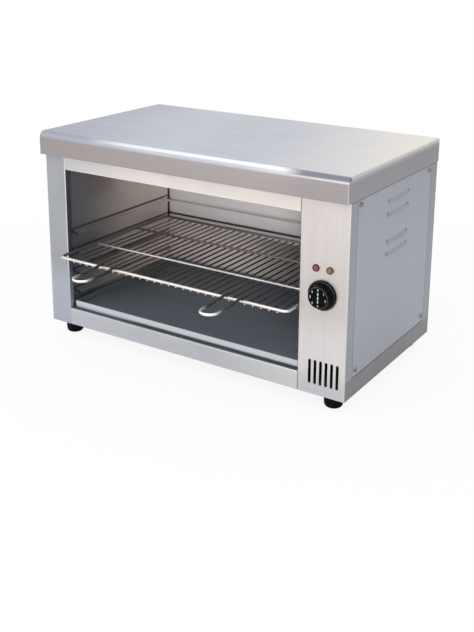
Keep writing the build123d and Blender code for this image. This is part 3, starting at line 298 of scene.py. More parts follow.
def level(colour: Colour, low: float, high: float, soft: float = 1.0, share: float = 1.0) -> Patch:
    """A patch that runs round the whole piece between two heights in millimetres."""
    return Patch(colour, (-ALL, -ALL, low), (ALL, ALL, high), (1.0, 1.0, soft), share)


# Noise values that give the least and the most tone and gloss, and how a scuff follows the light colour.
GRAIN_RANGE = (0.25, 0.75)
GLOSS_RANGE = (0.3, 0.7)
PALE_SHARE, PALE_LIFT = 0.6, 0.35


@dataclass(frozen=True)
class Finish:
    """One surface finish: two close colours in blotches, fades and patches, a grain, scuffs and gloss.

    The scales of the blotches and of the grain are patterns in a metre. Most fades and patches are painted
    light and shade.
    """

    name: str
    light: Colour
    dark: Colour
    marks: tuple[Fade | Patch, ...] = ()
    metallic: float = 0.0
    roughness: float = 0.4
    roughness_spread: float = 0.08
    blotch_scale: float = 9.0
    grain: Optional[Axis] = None
    grain_along: float = 12.0
    grain_across: float = 900.0
    grain_tone: float = 0.06
    bump: float = 0.05
    bump_depth: float = 0.1 * MM
    scuff: float = 0.0
    specular: float = 0.5
    coat: float = 0.0

    def colour(self, tree: Tree, place: Socket, grain: Socket) -> Socket:
        """Colour over the surface.

        Args:
            tree: the material's tree.
            place: object coordinates.
            grain: the fine grain from 0 to 1.

        Returns:
            The colour's socket.
        """
        blotch = Effects.use(tree, "blotches", {"Vector": place, "Scale": self.blotch_scale})
        shade = tree.mix(blotch[0], self.light, self.dark)
        for mark in self.marks:
            amount = tree.number("MULTIPLY", mark.mask(tree, place), mark.share)
            shade = tree.mix(amount, shade, mark.colour)
        tone = tree.span(grain, *GRAIN_RANGE, 1.0 - self.grain_tone, 1.0 + self.grain_tone)
        drawn = tree.mix(1.0, shade, tone, "MULTIPLY")
        pale = tuple(min(1.0, PALE_SHARE * part + PALE_LIFT) for part in self.light[:3]) + (1.0,)
        worn = Effects.use(tree, "scuffs", {"Vector": place, "Amount": self.scuff})
        return tree.mix(worn[0], drawn, pale)

    def build(self) -> bpy.types.Material:
        """Makes the material."""
        material = bpy.data.materials.new(self.name)
        material.use_nodes = True
        tree = Tree(material.node_tree)
        place = tree.add("TexCoord", {}).outputs["Object"]
        even = (self.grain_across,) * 3
        scale = self.grain.stretch(self.grain_along, self.grain_across) if self.grain else even
        drawn = tree.add("Mapping", {"Vector": place, "Scale": scale})
        grain = Effects.use(tree, "grain", {"Vector": drawn.outputs[0]})
        low, high = self.roughness - self.roughness_spread, self.roughness + self.roughness_spread
        relief = {"Strength": self.bump, "Distance": self.bump_depth, "Height": grain["Fine"]}
        tree.feed(material.node_tree.nodes["Principled BSDF"], {
            "Base Color": self.colour(tree, place, grain["Fine"]),
            "Roughness": tree.span(grain["Soft"], *GLOSS_RANGE, low, high),
            "Normal": tree.add("Bump", relief).outputs[0],
            "Metallic": self.metallic,
            "Specular IOR Level": self.specular,
            "Coat Weight": self.coat})
        return material


class Palette:
    """Every finish of the machine, built on first use."""

    def __init__(self) -> None:
        """Starts with no material made."""
        self.made: dict[str, bpy.types.Material] = {}

    def __getitem__(self, finish: Finish) -> bpy.types.Material:
        """The material of a finish."""
        if finish.name not in self.made:
            self.made[finish.name] = finish.build()
        return self.made[finish.name]


# ------------------------------------------------------------------ finishes of the sheets

# The outer sheets are one steel: the differences between their base colours are painted light and shade, and
# so are most of their fades and patches.
STEEL = {"metallic": 0.55, "roughness": 0.36, "roughness_spread": 0.05, "scuff": 0.02}
# Painted light and shade on the cover: lighter towards the right rear, darker and bluer towards the left
# front, painted shade on the fascia and skirts, a painted highlight along the middle of the nose with painted
# shade at both its ends, painted shade on the fascia's right end, a thin darker upright line near its left
# end, a painted highlight line on the right front corner and painted light on the right skirt.
COVER = Finish("brushed_cover", rgb(177, 180, 188), rgb(171, 175, 184), (
    Fade(rgb(220, 214, 207), (1, 0.35, 0), 0.06, 0.40),
    Fade(rgb(146, 150, 163), (-1, -0.4, 0), 0.06, 0.34),
    Fade(rgb(145, 138, 137), DOWNWARD, -0.372, -0.366),
    Patch(rgb(226, 230, 237), (-90, -ALL, 375), (150, -129, 380), (120, 3, 1.5), 0.7),
    Patch(rgb(106, 106, 116), (232, -ALL, 373), (296, -128, 380), (50, 4, 2)),
    Patch(rgb(150, 152, 162), (-ALL, -ALL, 373), (-250, -128, 380), (90, 4, 2)),
    Patch(rgb(138, 131, 133), (240, -ALL, 330), (ALL, -130, 368), (70, 1, 3)),
    Patch(rgb(140, 135, 136), (-295.4, -ALL, 338), (-294.4, -133, 372), (0.6, 1, 3), 0.7),
    Patch(rgb(176, 172, 174), (300, -134.5, 330), (302, -132.6, 374), (0.7, 0.6, 3)),
    Patch(rgb(156, 156, 162), (300.9, -131, 330), (ALL, ALL, 372), (0.2, 1, 3), 0.7),
), grain=Axis.X, grain_tone=0.02, bump=0.02, **STEEL)
# Painted light and shade on the left post: a painted highlight on the fold at its inner edge, painted shade
# on the return behind it, and painted light over its lower part.
LEFT_POST = Finish("brushed_left_post", rgb(154, 156, 161), rgb(147, 149, 155), (
    Fade(rgb(206, 210, 214), RIGHTWARD, -0.2578, -0.2568),
    Fade(rgb(88, 91, 96), RIGHTWARD, -0.2562, -0.2555),
    level(rgb(164, 168, 180), 20, 90, 60),
), grain=Axis.Z, **STEEL)
# Painted shadow under the top cover's skirt.
PAINTED_SKIRT_SHADOW = rgb(84, 80, 84)
# Painted light and shade on the control panel: lighter low down and bluer near the bottom, a painted
# highlight on the right front fold, painted shade on the right side face and its bottom band, and the painted
# shadow under the cover's skirt.
PANEL = Finish("brushed_control_panel", rgb(189, 183, 180), rgb(184, 179, 177), (
    Fade(rgb(204, 200, 199), DOWNWARD, -0.17, -0.1),
    Fade(rgb(187, 188, 192), DOWNWARD, -0.075, -0.04),
    Fade(rgb(192, 190, 186), RIGHTWARD, 0.2974, 0.2984),
    Fade(rgb(154, 156, 163), RIGHTWARD, 0.2992, 0.2998),
    Patch(rgb(136, 132, 135), (299.6, -ALL, 20), (ALL, ALL, 54), (0.2, 1, 3)),
    Patch(PAINTED_SKIRT_SHADOW, (299.6, -ALL, 337.2), (ALL, ALL, 340), (0.2, 1, 1), 0.8),
), grain=Axis.Z, grain_tone=0.03, **STEEL)
# Painted light and shade on the top rail: darker towards the left, warmer towards the right, and a painted
# highlight along its folded lower edge.
TOP_RAIL = Finish("brushed_top_rail", rgb(203, 197, 192), rgb(197, 192, 187), (
    Fade(rgb(184, 181, 182), LEFTWARD, 0.08, 0.27),
    Fade(rgb(199, 192, 184), RIGHTWARD, 0.05, 0.19),
    Fade(rgb(236, 232, 228), DOWNWARD, -0.3149, -0.3142),
), grain=Axis.X, grain_tone=0.04, **STEEL)
# Painted light and shade on the bottom rail: lighter towards the right, and painted shade on its top flange
# behind the front face.
BOTTOM_RAIL = Finish("brushed_bottom_rail", rgb(184, 186, 192), rgb(178, 180, 186), (
    Fade(rgb(198, 198, 199), RIGHTWARD, 0, 0.24),
    Fade(rgb(100, 103, 108), BACKWARD, -0.1196, -0.1186),
), grain=Axis.X, **STEEL)
# Painted light and shade on the side covers: the painted shadow under the cover's skirt, a painted shadow
# line along the bottom seam, and painted shade on the front strip and on the raised louvres.
SIDE = Finish("brushed_side_cover", rgb(169, 172, 180), rgb(164, 167, 175), (
    level(PAINTED_SKIRT_SHADOW, 337.2, 340, 1, 0.8),
    level(rgb(96, 97, 103), 52, 55.9, 1),
    Patch(rgb(143, 145, 152), (-ALL, -ALL, -ALL), (ALL, -98.6, ALL), (1, 1.2, 1)),
    Patch(rgb(141, 144, 153), (300.25, -ALL, 0), (ALL, ALL, ALL), (0.2, 1, 1), 0.6),
), metallic=0.6, roughness=0.42, roughness_spread=0.02, grain=Axis.Z, grain_tone=0.02, bump=0.02,
    blotch_scale=5)
BACK = Finish("plain_back_sheet", rgb(171, 172, 176), rgb(165, 166, 171), grain=Axis.X, **STEEL)
UNDER = Finish("plain_base_sheet", rgb(150, 151, 154), rgb(138, 139, 143), grain=Axis.X, **STEEL)

# ------------------------------------------------------------------ finishes of the cavity

# The linings are one steel: the differences between the walls' base colours are painted light and shade.
LINING = {"metallic": 0.1, "roughness": 0.42, "roughness_spread": 0.06, "grain_tone": 0.04,
          "blotch_scale": 7}
# Painted shadow for the linings' creases and corners.
PAINTED_SHADOW_LINE = rgb(58, 50, 50)
FRONT_SHADE = Patch(rgb(44, 46, 50), (-ALL, -ALL, 0), (ALL, -106, ALL), (1, 6, 1))
# Heights of the runners' seats in millimetres. A painted shadow line lies in the fold over each seat, and
# one under each front.
SEATS = (84.3, 121.2, 158.1, 195)
RUNNER_SHADOW_LINES = tuple(level(PAINTED_SHADOW_LINE, seat + low, seat + high, 0.9, 0.85)
                     for low, high in ((2.6, 4.6), (-7, -3.9)) for seat in SEATS)
# Left lining: painted shade towards the front, a brown heat tint high up in front of the middle, painted
# shade in the rear corner, painted shadow lines at the runners, the painted front shade and a painted
# highlight on the top runner's seat.
LEFT_WALL = Finish("left_lining_heat_tint_painted_shade_and_highlight", rgb(250, 237, 231), rgb(236, 224, 218), (
    Fade(rgb(112, 114, 118), FORWARD, -0.13, 0.09),
    Patch(rgb(120, 92, 92), (-ALL, -45, 262), (ALL, -5, 300), (1, 36, 30), 0.4),
    Patch(PAINTED_SHADOW_LINE, (-ALL, 183, 160), (ALL, 190, 400), (1, 1.2, 30)),
    *RUNNER_SHADOW_LINES,
    FRONT_SHADE,
    Patch(rgb(236, 232, 228), (-ALL, 78, 194.2), (ALL, 118, 196.6), (1, 26, 0.8), 0.9),
), grain=Axis.Y, **LINING)
# Right lining: the lining steel in a darker base colour as painted shade, with the painted front shade and
# the painted shadow lines at the runners.
RIGHT_WALL = Finish("right_lining_painted_shade", rgb(150, 144, 141), rgb(134, 128, 127),
                    (FRONT_SHADE, *RUNNER_SHADOW_LINES), grain=Axis.Y, **LINING)
# Rear lining: painted shade towards the right and over the lower part, deepest at the lower right, a faint
# painted shade line and a strong painted shadow under the beads, and painted shade in the left corner.
REAR_WALL = Finish("rear_lining", rgb(253, 249, 248), rgb(247, 243, 243), (
    Fade(rgb(112, 111, 116), RIGHTWARD, -0.02, 0.17),
    level(rgb(226, 217, 212), 50, 140, 9),
    Patch(rgb(92, 90, 89), (70, -ALL, 50), (ALL, ALL, 140), (190, 1, 9)),
    level(rgb(140, 134, 135), 188.6, 190.4, 1.4, 0.6),
    level(rgb(46, 42, 44), 159.6, 163.6, 0.9, 0.95),
    Patch(PAINTED_SHADOW_LINE, (-264, -ALL, 160), (-260.6, ALL, 400), (0.8, 1, 30), 0.9),
), grain=Axis.X, **LINING)
ROOF = Finish("roof_lining", rgb(214, 210, 207), rgb(200, 196, 193), grain=Axis.X, **LINING)
# The cavity floor: the lining steel painted dark as shade under the tray.
FLOOR = Finish("cavity_floor_painted_shade", rgb(60, 62, 66), rgb(50, 52, 56), grain=Axis.X, **LINING)
# Dark coated tray with a bright front lip: painted light towards both ends, and painted shade along the lip's
# lower edge, darkest at its right.
TRAY = Finish("dark_tray_coat", rgb(105, 115, 127), rgb(97, 107, 119), (
    Fade(rgb(105, 116, 124), LEFTWARD, 0.02, 0.22),
    Fade(rgb(112, 123, 132), RIGHTWARD, 0.05, 0.2),
    Fade(rgb(183, 188, 192), FORWARD, 0.1095, 0.1101),
    Patch(rgb(150, 155, 162), (-ALL, -ALL, 50), (ALL, -109.8, 58.6), (1, 0.5, 0.8)),
    Patch(rgb(78, 82, 87), (-90, -ALL, 50), (ALL, -109.8, 57.4), (70, 0.5, 0.8)),
), metallic=0.1, roughness=0.5, roughness_spread=0.03, grain=Axis.X, grain_tone=0.015, bump=0.01,
    blotch_scale=4)
DRAWN = {"roughness_spread": 0.02, "grain_tone": 0.03, "bump": 0.02}
# Frame wire, darker towards the rear, with painted shade on the left side wire.
WIRE = Finish("drawn_wire", rgb(218, 214, 211), rgb(200, 195, 192), (
    Fade(rgb(140, 132, 127), BACKWARD, -0.04, 0.04),
    Patch(rgb(136, 135, 137), (-ALL, -140, 0), (-246, ALL, 400), (1, 3, 1)),
), metallic=0.8, roughness=0.32, blotch_scale=30, **DRAWN)
# Dark brown rods, with painted light towards the rear and a painted highlight on their ends in front of the
# front wire.
ROD = Finish("dark_brown_rod", rgb(106, 97, 92), rgb(90, 83, 80), (
    Fade(rgb(150, 140, 134), BACKWARD, 0, 0.14),
    Fade(rgb(206, 201, 198), FORWARD, 0.1458, 0.1468),
), metallic=0.6, roughness=0.36, blotch_scale=40, **DRAWN)
# Dark brown handle wire with a painted highlight on the loop at its front.
HANDLE = Finish("handle_wire_painted_highlight", rgb(112, 104, 98), rgb(90, 83, 79), (
    Fade(rgb(226, 224, 222), FORWARD, 0.200, 0.216),
), metallic=0.7, roughness=0.28, blotch_scale=60, **DRAWN)
WELD = Finish("dark_weld", rgb(84, 77, 73), rgb(64, 58, 55), metallic=0.6, roughness=0.42, blotch_scale=300)
SHEATH = Finish("oxidised_sheath", rgb(82, 74, 70), rgb(60, 56, 55), metallic=0.7, roughness=0.5,
                blotch_scale=40, grain_across=1200)
CERAMIC = Finish("glazed_ceramic", rgb(226, 220, 206), rgb(214, 206, 190), roughness=0.25,
                 blotch_scale=80, coat=0.4)
WOOLLY = {"roughness": 0.95, "roughness_spread": 0.03, "blotch_scale": 120, "grain_across": 700,
          "grain_tone": 0.3, "bump": 1}
WOOL = Finish("mineral_wool", rgb(196, 184, 146), rgb(160, 146, 108), **WOOLLY)
# The same mineral wool painted dark as shade, for the right insulation.
PAINTED_SHADE_WOOL = Finish("wool_painted_shade", rgb(38, 37, 36), rgb(26, 25, 25), **WOOLLY)

# ------------------------------------------------------------------ finishes of small parts

TURNED = {"grain_across": 1800}
ZINC = Finish("bright_fastener", rgb(172, 173, 178), rgb(132, 133, 139), metallic=0.9, roughness=0.36,
              blotch_scale=220, **TURNED)
# The fastener finish, rougher and painted darker as shade, for the side cover screws.
DULL_ZINC_PAINTED_SHADE = Finish("dull_fastener_painted_shade", rgb(156, 157, 163), rgb(112, 113, 119), metallic=0.85, roughness=0.42,
                   blotch_scale=220, **TURNED)
BRASS = Finish("turned_brass", rgb(206, 172, 104), rgb(176, 140, 78), metallic=0.95, roughness=0.3,
               blotch_scale=200, **TURNED)
GLOSSY = {"roughness_spread": 0.03, "blotch_scale": 60, "grain_across": 2500, "bump": 0.02}
BLACK = Finish("glossy_black_moulding", rgb(9, 10, 13), rgb(6, 7, 9), roughness=0.2, specular=0.05, **GLOSSY)
# Rings at the knob's edges in a lighter, glossier black: painted highlight.
EDGE = Finish("black_edge_painted_highlight", rgb(34, 36, 40), rgb(26, 28, 32), roughness=0.14, **GLOSSY)
MOULDED = {"blotch_scale": 80, "grain_across": 2200}
HOUSING = Finish("matt_moulding", rgb(44, 44, 47), rgb(34, 34, 37), roughness=0.55, bump=0.15, **MOULDED)
PALE_MOULDING = Finish("pale_moulding", rgb(216, 212, 200), rgb(204, 199, 186), roughness=0.5, bump=0.1,
                       **MOULDED)
CLEAR = {"roughness": 0.3, "blotch_scale": 160, "grain_across": 1400, "specular": 0.3}
RED_LENS = Finish("red_lens", rgb(122, 68, 76), rgb(108, 54, 64), **CLEAR)
RED_RIM = Finish("red_lens_rim", rgb(84, 26, 38), rgb(70, 20, 32), **CLEAR)
AMBER_LENS = Finish("amber_lens", rgb(140, 102, 72), rgb(126, 88, 58), **CLEAR)
AMBER_RIM = Finish("amber_lens_rim", rgb(92, 62, 42), rgb(80, 52, 34), **CLEAR)
BEZEL = Finish("lamp_bezel", rgb(222, 214, 208), rgb(208, 198, 192), metallic=0.3, roughness=0.4,
               blotch_scale=200, grain_across=2000)
SLEEVE = Finish("silicone_sleeve", rgb(150, 44, 36), rgb(126, 32, 26), roughness=0.5, blotch_scale=120,
                grain_across=1500, bump=0.1)
RUBBER = Finish("black_rubber", rgb(20, 20, 22), rgb(12, 12, 14), roughness=0.6, blotch_scale=120,
                grain_across=1600, grain_tone=0.15, bump=0.2, specular=0.05)
MARKS = Finish("white_marks", rgb(188, 191, 194), rgb(168, 172, 175), roughness=0.5, blotch_scale=500,
               grain_across=3000)


# ------------------------------------------------------------------ surfaces


def quads(rows: int, columns: int, wrap_rows: bool = False, wrap_columns: bool = False) -> np.ndarray:
    """Faces of a grid of points: each cell joins a point to its neighbours in the next row and column.

    Args:
        rows, columns: size of the grid.
        wrap_rows, wrap_columns: whether the last row or column joins the first.

    Returns:
        Four point numbers per face.
    """
    numbers = np.arange(rows - (not wrap_rows)), np.arange(columns - (not wrap_columns))
    row, column = np.meshgrid(*numbers, indexing="ij")
    next_row, next_column = (row + 1) % rows, (column + 1) % columns
    cells = [row * columns + column, row * columns + next_column,
             next_row * columns + next_column, next_row * columns + column]
    return np.stack(cells, -1).reshape(-1, 4)


def evenly(count: int, pitch: float) -> np.ndarray:
    """Places at an even pitch on both sides of zero."""
    return (np.arange(count) - (count - 1) / 2) * pitch


def arc(middle: tuple[float, float], radii: tuple[float, float], turns: tuple[float, float],
        count: int) -> np.ndarray:
    """Part of an ellipse: its middle plus (a cos t, b sin t).

    Args:
        middle: the ellipse's middle.
        radii: a and b; a negative one mirrors the arc.
        turns: first and last t, in half turns.
        count: number of points.

    Returns:
        Points in the plane.
    """
    t = np.linspace(turns[0] * np.pi, turns[1] * np.pi, count)
    return np.stack([middle[0] + radii[0] * np.cos(t), middle[1] + radii[1] * np.sin(t)], -1)


def tube(path: np.ndarray, radii: np.ndarray, sides: int = 16, closed: bool = False) -> Surface:
    """Round tube along a path that never runs straight up.

    Point (i, j) is path i plus radius i times (cos a * side + sin a * up), where a runs round the
    tube, side is the path's direction crossed with +Z, and up is side crossed with the direction.

    Args:
        path: centre line, one point per ring.
        radii: radius of each ring; zero closes an end.
        sides: points in a ring.
        closed: whether the path is a loop.

    Returns:
        Points and faces.
    """
    ahead = np.roll(path, -1, 0) - np.roll(path, 1, 0) if closed else np.gradient(path, axis=0)
    ahead /= np.linalg.norm(ahead, axis=1, keepdims=True)
    side = np.cross(ahead, [0.0, 0.0, 1.0])
    side /= np.linalg.norm(side, axis=1, keepdims=True)
    up = np.cross(side, ahead)
    turn = np.linspace(0.0, 2 * np.pi, sides, endpoint=False)
    ring = side[:, None] * np.cos(turn)[None, :, None] + up[:, None] * np.sin(turn)[None, :, None]
    points = path[:, None] + ring * radii[:, None, None]
    return points.reshape(-1, 3), quads(len(path), sides, closed, True)


def domed(length: float, radius: float, rings: int, middle: int,
          bulge: float = 0.6) -> tuple[np.ndarray, np.ndarray]:
    """Stations and radii of a bar with rounded ends: quarter ellipses at both ends, even steps between.

    Args:
        length: length over the ends.
        radius: radius of the bar.
        rings: rings of each end.
        middle: rings between the ends.
        bulge: length of each end, as a share of the radius.

    Returns:
        Distance from the start and radius of each ring.
    """
    angle = np.linspace(0.0, np.pi / 2, rings)
    cap = radius * bulge
    start = cap * (1 - np.cos(angle))
    between = np.linspace(cap, length - cap, middle + 2)[1:-1]
    stations = np.concatenate([start, between, length - start[::-1]])
    return stations, radius * np.concatenate([np.sin(angle), np.ones(middle), np.sin(angle)[::-1]])


def repeated(surface: Surface, places: np.ndarray) -> Surface:
    """The same surface at several places.

    Args:
        surface: its points and faces.
        places: offsets that are added to its points, one row per copy.

    Returns:
        Points and faces of all copies.
    """
    points, faces = surface
    moved = (points[None] + places[:, None]).reshape(-1, 3)
    steps = np.arange(len(places))[:, None, None] * len(points)
    return moved, (faces[None] + steps).reshape(-1, faces.shape[1])


def nugget(size: Point, rings: int, sides: int) -> Surface:
    """Ellipsoid: x, y, z are the half sizes times (sin a cos b, sin a sin b, cos a).

    Args:
        size: its half sizes.
        rings: steps of a from pole to pole.
        sides: steps of b.

    Returns:
        Points and faces.
    """
    poles = np.linspace(0.0, np.pi, rings)
    a, b = np.meshgrid(poles, np.linspace(0.0, 2 * np.pi, sides, endpoint=False), indexing="ij")
    points = np.stack([np.sin(a) * np.cos(b), np.sin(a) * np.sin(b), np.cos(a)], -1) * np.array(size)
    return points.reshape(-1, 3), quads(rings, sides, False, True)


def turning_point(low: Any, high: Any) -> Point:
    """Middle of a box in x and z, with y 0, on the axis of a round part that points along Y."""
    return ((low.x + high.x) / 2, 0.0, (low.z + high.z) / 2)


def lathe(profile: np.ndarray, centre: Point, sides: int = 96) -> Surface:
    """Surface of revolution about a line along Y: a profile point (r, y) gives r cos a, y, r sin a.

    Args:
        profile: radius and depth of each ring.
        centre: a point on the line, with y 0.
        sides: points in a ring.

    Returns:
        Points and faces.
    """
    a = np.linspace(0.0, 2 * np.pi, sides, endpoint=False)
    r, y = profile[:, 0:1], profile[:, 1:2]
    points = np.stack([r * np.cos(a), np.repeat(y, sides, 1), r * np.sin(a)], -1) + np.array(centre)
    return points.reshape(-1, 3), quads(len(profile), sides, False, True)


def joined(surfaces: Sequence[Surface]) -> Surface:
    """Several surfaces as one: their points in a row, with each one's faces counted on from its start."""
    starts = np.cumsum([0] + [len(points) for points, _ in surfaces[:-1]])
    points = np.concatenate([points for points, _ in surfaces])
    return points, np.concatenate([faces + start for (_, faces), start in zip(surfaces, starts)])


def corner_normals(points: int, corners: np.ndarray, faces: np.ndarray, normals: np.ndarray,
                   areas: np.ndarray, sharp_deg: float) -> np.ndarray:
    """Shading normal of every face corner, so that flat sheets stay flat and bends look round.

    It is the sum of area times normal over the faces at the corner's point whose normals lie
    within an angle of the corner's own face, brought to unit length.

    Args:
        points: number of points.
        corners: point number of each corner.
        faces: face number of each corner.
        normals: unit normal of each face.
        areas: area of each face.
        sharp_deg: largest angle that is smoothed over.

    Returns:
        One unit vector per corner.
    """
    order = np.argsort(corners, kind="stable")
    count = np.bincount(corners, minlength=points)
    start = np.cumsum(count) - count
    share = count[corners[order]]
    left = np.repeat(np.arange(len(order)), share)
    within = np.arange(share.sum()) - np.repeat(np.cumsum(share) - share, share)
    right = np.repeat(start[corners[order]], share) + within
    own, other = faces[order[left]], faces[order[right]]
    near = (normals[own] * normals[other]).sum(1) > math.cos(math.radians(sharp_deg))
    pull = normals[other[near]] * areas[other[near], None]
    total = np.stack([np.bincount(left[near], pull[:, k], len(order)) for k in range(3)], -1)
    result = np.empty_like(total)
    result[order] = total / np.maximum(np.linalg.norm(total, axis=1, keepdims=True), 1e-30)
    return result


def read(items: Any, name: str, width: int, kind: type) -> np.ndarray:
    """One attribute of a mesh collection.

    Args:
        items: the collection, such as the vertices.
        name: name of the attribute.
        width: numbers per item.
        kind: number type that is read.

    Returns:
        A row per item, or a flat array where width is 1.
    """
    flat = np.zeros(len(items) * width, kind)
    items.foreach_get(name, flat)
    return flat.reshape(-1, width) if width > 1 else flat


def smooth(mesh: bpy.types.Mesh, sharp_deg: float, turn_out: bool) -> None:
    """Merges doubled points and shades the mesh with corner_normals.

    Args:
        mesh: the mesh.
        sharp_deg: angle between faces above which an edge stays sharp.
        turn_out: whether the faces are turned outwards first.
    """
    work = bmesh.new()
    work.from_mesh(mesh)
    bmesh.ops.remove_doubles(work, verts=work.verts, dist=SAME_POINT)
    if turn_out:
        bmesh.ops.recalc_face_normals(work, faces=work.faces)
    work.to_mesh(mesh)
    work.free()
    mesh.shade_smooth()
    totals = read(mesh.polygons, "loop_total", 1, np.int32)
    corners = read(mesh.loops, "vertex_index", 1, np.int32)
    normals = read(mesh.polygons, "normal", 3, np.float32).astype(float)
    areas = read(mesh.polygons, "area", 1, np.float32).astype(float)
    faces = np.repeat(np.arange(len(totals)), totals)
    shading = corner_normals(len(mesh.vertices), corners, faces, normals, areas, sharp_deg)
    mesh.normals_split_custom_set(shading.tolist())


def stand(name: str, data: bpy.types.ID) -> bpy.types.Object:
    """A new object in the scene, for a mesh, a light or a camera."""
    made = bpy.data.objects.new(name, data)
    bpy.context.scene.collection.objects.link(made)
    return made


# ------------------------------------------------------------------ sub-assemblies


@dataclass(frozen=True)
class Dressing:
    """CAD nodes with one finish.

    Fields: the finish, the record's material slot, the sharp angle in degrees, as piece takes it, and
    the nodes.
    """

    finish: Finish
    slot: str
    sharp_deg: float
    nodes: tuple[str, ...]


@dataclass
class SubAssembly:
    """Pieces on one body that share a palette; dressings are the CAD nodes that only get a finish."""

    palette: Palette
    body: str = "cabinet"
    dressings: tuple[Dressing, ...] = ()

    def build(self) -> None:
        """Dresses the CAD nodes."""
        for dressing in self.dressings:
            for node in dressing.nodes:
                self.rounded(node, dressing.finish, dressing.slot, dressing.sharp_deg)

    def piece(self, name: str, surface: Surface, finish: Finish, slot: str, nodes: Sequence[str] = (),
              sharp_deg: float = 40.0) -> None:
        """Makes a piece from points and faces, riding on this group's body.

        Args:
            name: name of the piece.
            surface: its points and faces.
            finish: its finish.
            slot: the record's material slot.
            nodes: CAD nodes that it stands for.
            sharp_deg: angle between faces above which an edge stays sharp.
        """
        mesh = bpy.data.meshes.new(name)
        points, faces = surface
        mesh.from_pydata(points.tolist(), [], faces.tolist())
        smooth(mesh, sharp_deg, True)
        self.place(name, mesh, finish, slot, nodes)

    def rounded(self, node: str, finish: Finish, slot: str, sharp_deg: float) -> None:
        """Stands a smoothly shaded copy of a CAD node in its place; the arguments are those of piece."""
        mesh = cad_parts[node].data.copy()
        smooth(mesh, sharp_deg, False)
        self.place(f"{node}_finished", mesh, finish, slot, [node])

    def place(self, name: str, mesh: bpy.types.Mesh, finish: Finish, slot: str, nodes: Sequence[str]) -> None:
        """Dresses a mesh and lets it ride on the body.

        Args:
            mesh: mesh of the piece.
            name, finish, nodes: as in piece; slot is not used.
        """
        self.dress(mesh, finish)
        made = stand(name, mesh)
        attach(made, self.body)
        if nodes:
            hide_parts(*nodes)
        LOG.info("piece %s: %d faces", name, len(mesh.polygons))

    def dress(self, mesh: bpy.types.Mesh, finish: Finish) -> None:
        """Gives a mesh its finish alone."""
        mesh.materials.clear()
        mesh.materials.append(self.palette[finish])


@dataclass
class Shell(SubAssembly):
    """Outer sheets, their screws and the feet."""

    dressings: tuple[Dressing, ...] = (
        Dressing(COVER, "stainless", 24.0, ("top_cover",)),
        Dressing(LEFT_POST, "stainless", 24.0, ("left_end_frame",)),
        Dressing(PANEL, "stainless", 24.0, ("right_end_frame",)),
        Dressing(TOP_RAIL, "stainless", 24.0, ("top_rail",)),
        Dressing(BOTTOM_RAIL, "stainless", 24.0, ("bottom_rail",)),
        Dressing(SIDE, "stainless", 12.0, ("right_side_cover", "left_side_cover")),
        Dressing(BACK, "stainless", 24.0, ("rear_panel",)),
        Dressing(UNDER, "stainless", 24.0, ("base_pan",)),
        Dressing(DULL_ZINC_PAINTED_SHADE, "fastener", 50.0, ("side_cover_screws",)),
        Dressing(ZINC, "fastener", 50.0,
                 ("rear_panel_screws", "top_cover_screws", "foot_screws", "foot_nuts")),
        Dressing(RUBBER, "rubber", 40.0, ("rubber_feet",)))


@dataclass
class Cavity(SubAssembly):
    """Linings, elements and insulation."""

    dressings: tuple[Dressing, ...] = (
        Dressing(LEFT_WALL, "lining", 18.0, ("left_liner",)),
        Dressing(RIGHT_WALL, "lining", 18.0, ("right_liner",)),
        Dressing(REAR_WALL, "lining", 18.0, ("rear_liner",)),
        Dressing(ROOF, "lining", 18.0, ("roof_reflector",)),
        Dressing(FLOOR, "lining", 18.0, ("cavity_floor",)),
        Dressing(ROOF, "lining", 18.0, ("element_hangers",)),
        Dressing(SHEATH, "sheath", 50.0, ("front_heating_element", "rear_heating_element")),
        Dressing(CERAMIC, "ceramic", 40.0, ("element_terminals",)),
        Dressing(ZINC, "fastener", 40.0, ("element_bushes", "element_nuts")))
    wool: tuple[tuple[str, Finish], ...] = (
        ("left_insulation", WOOL), ("right_insulation", PAINTED_SHADE_WOOL), ("rear_insulation", WOOL),
        ("roof_insulation", WOOL))

    def build(self) -> None:
        """Dresses the cavity; the insulation keeps its own flat shading."""
        super().build()
        for node, finish in self.wool:
            self.dress(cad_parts[node].data, finish)
            LOG.info("node %s: %s", node, finish.name)


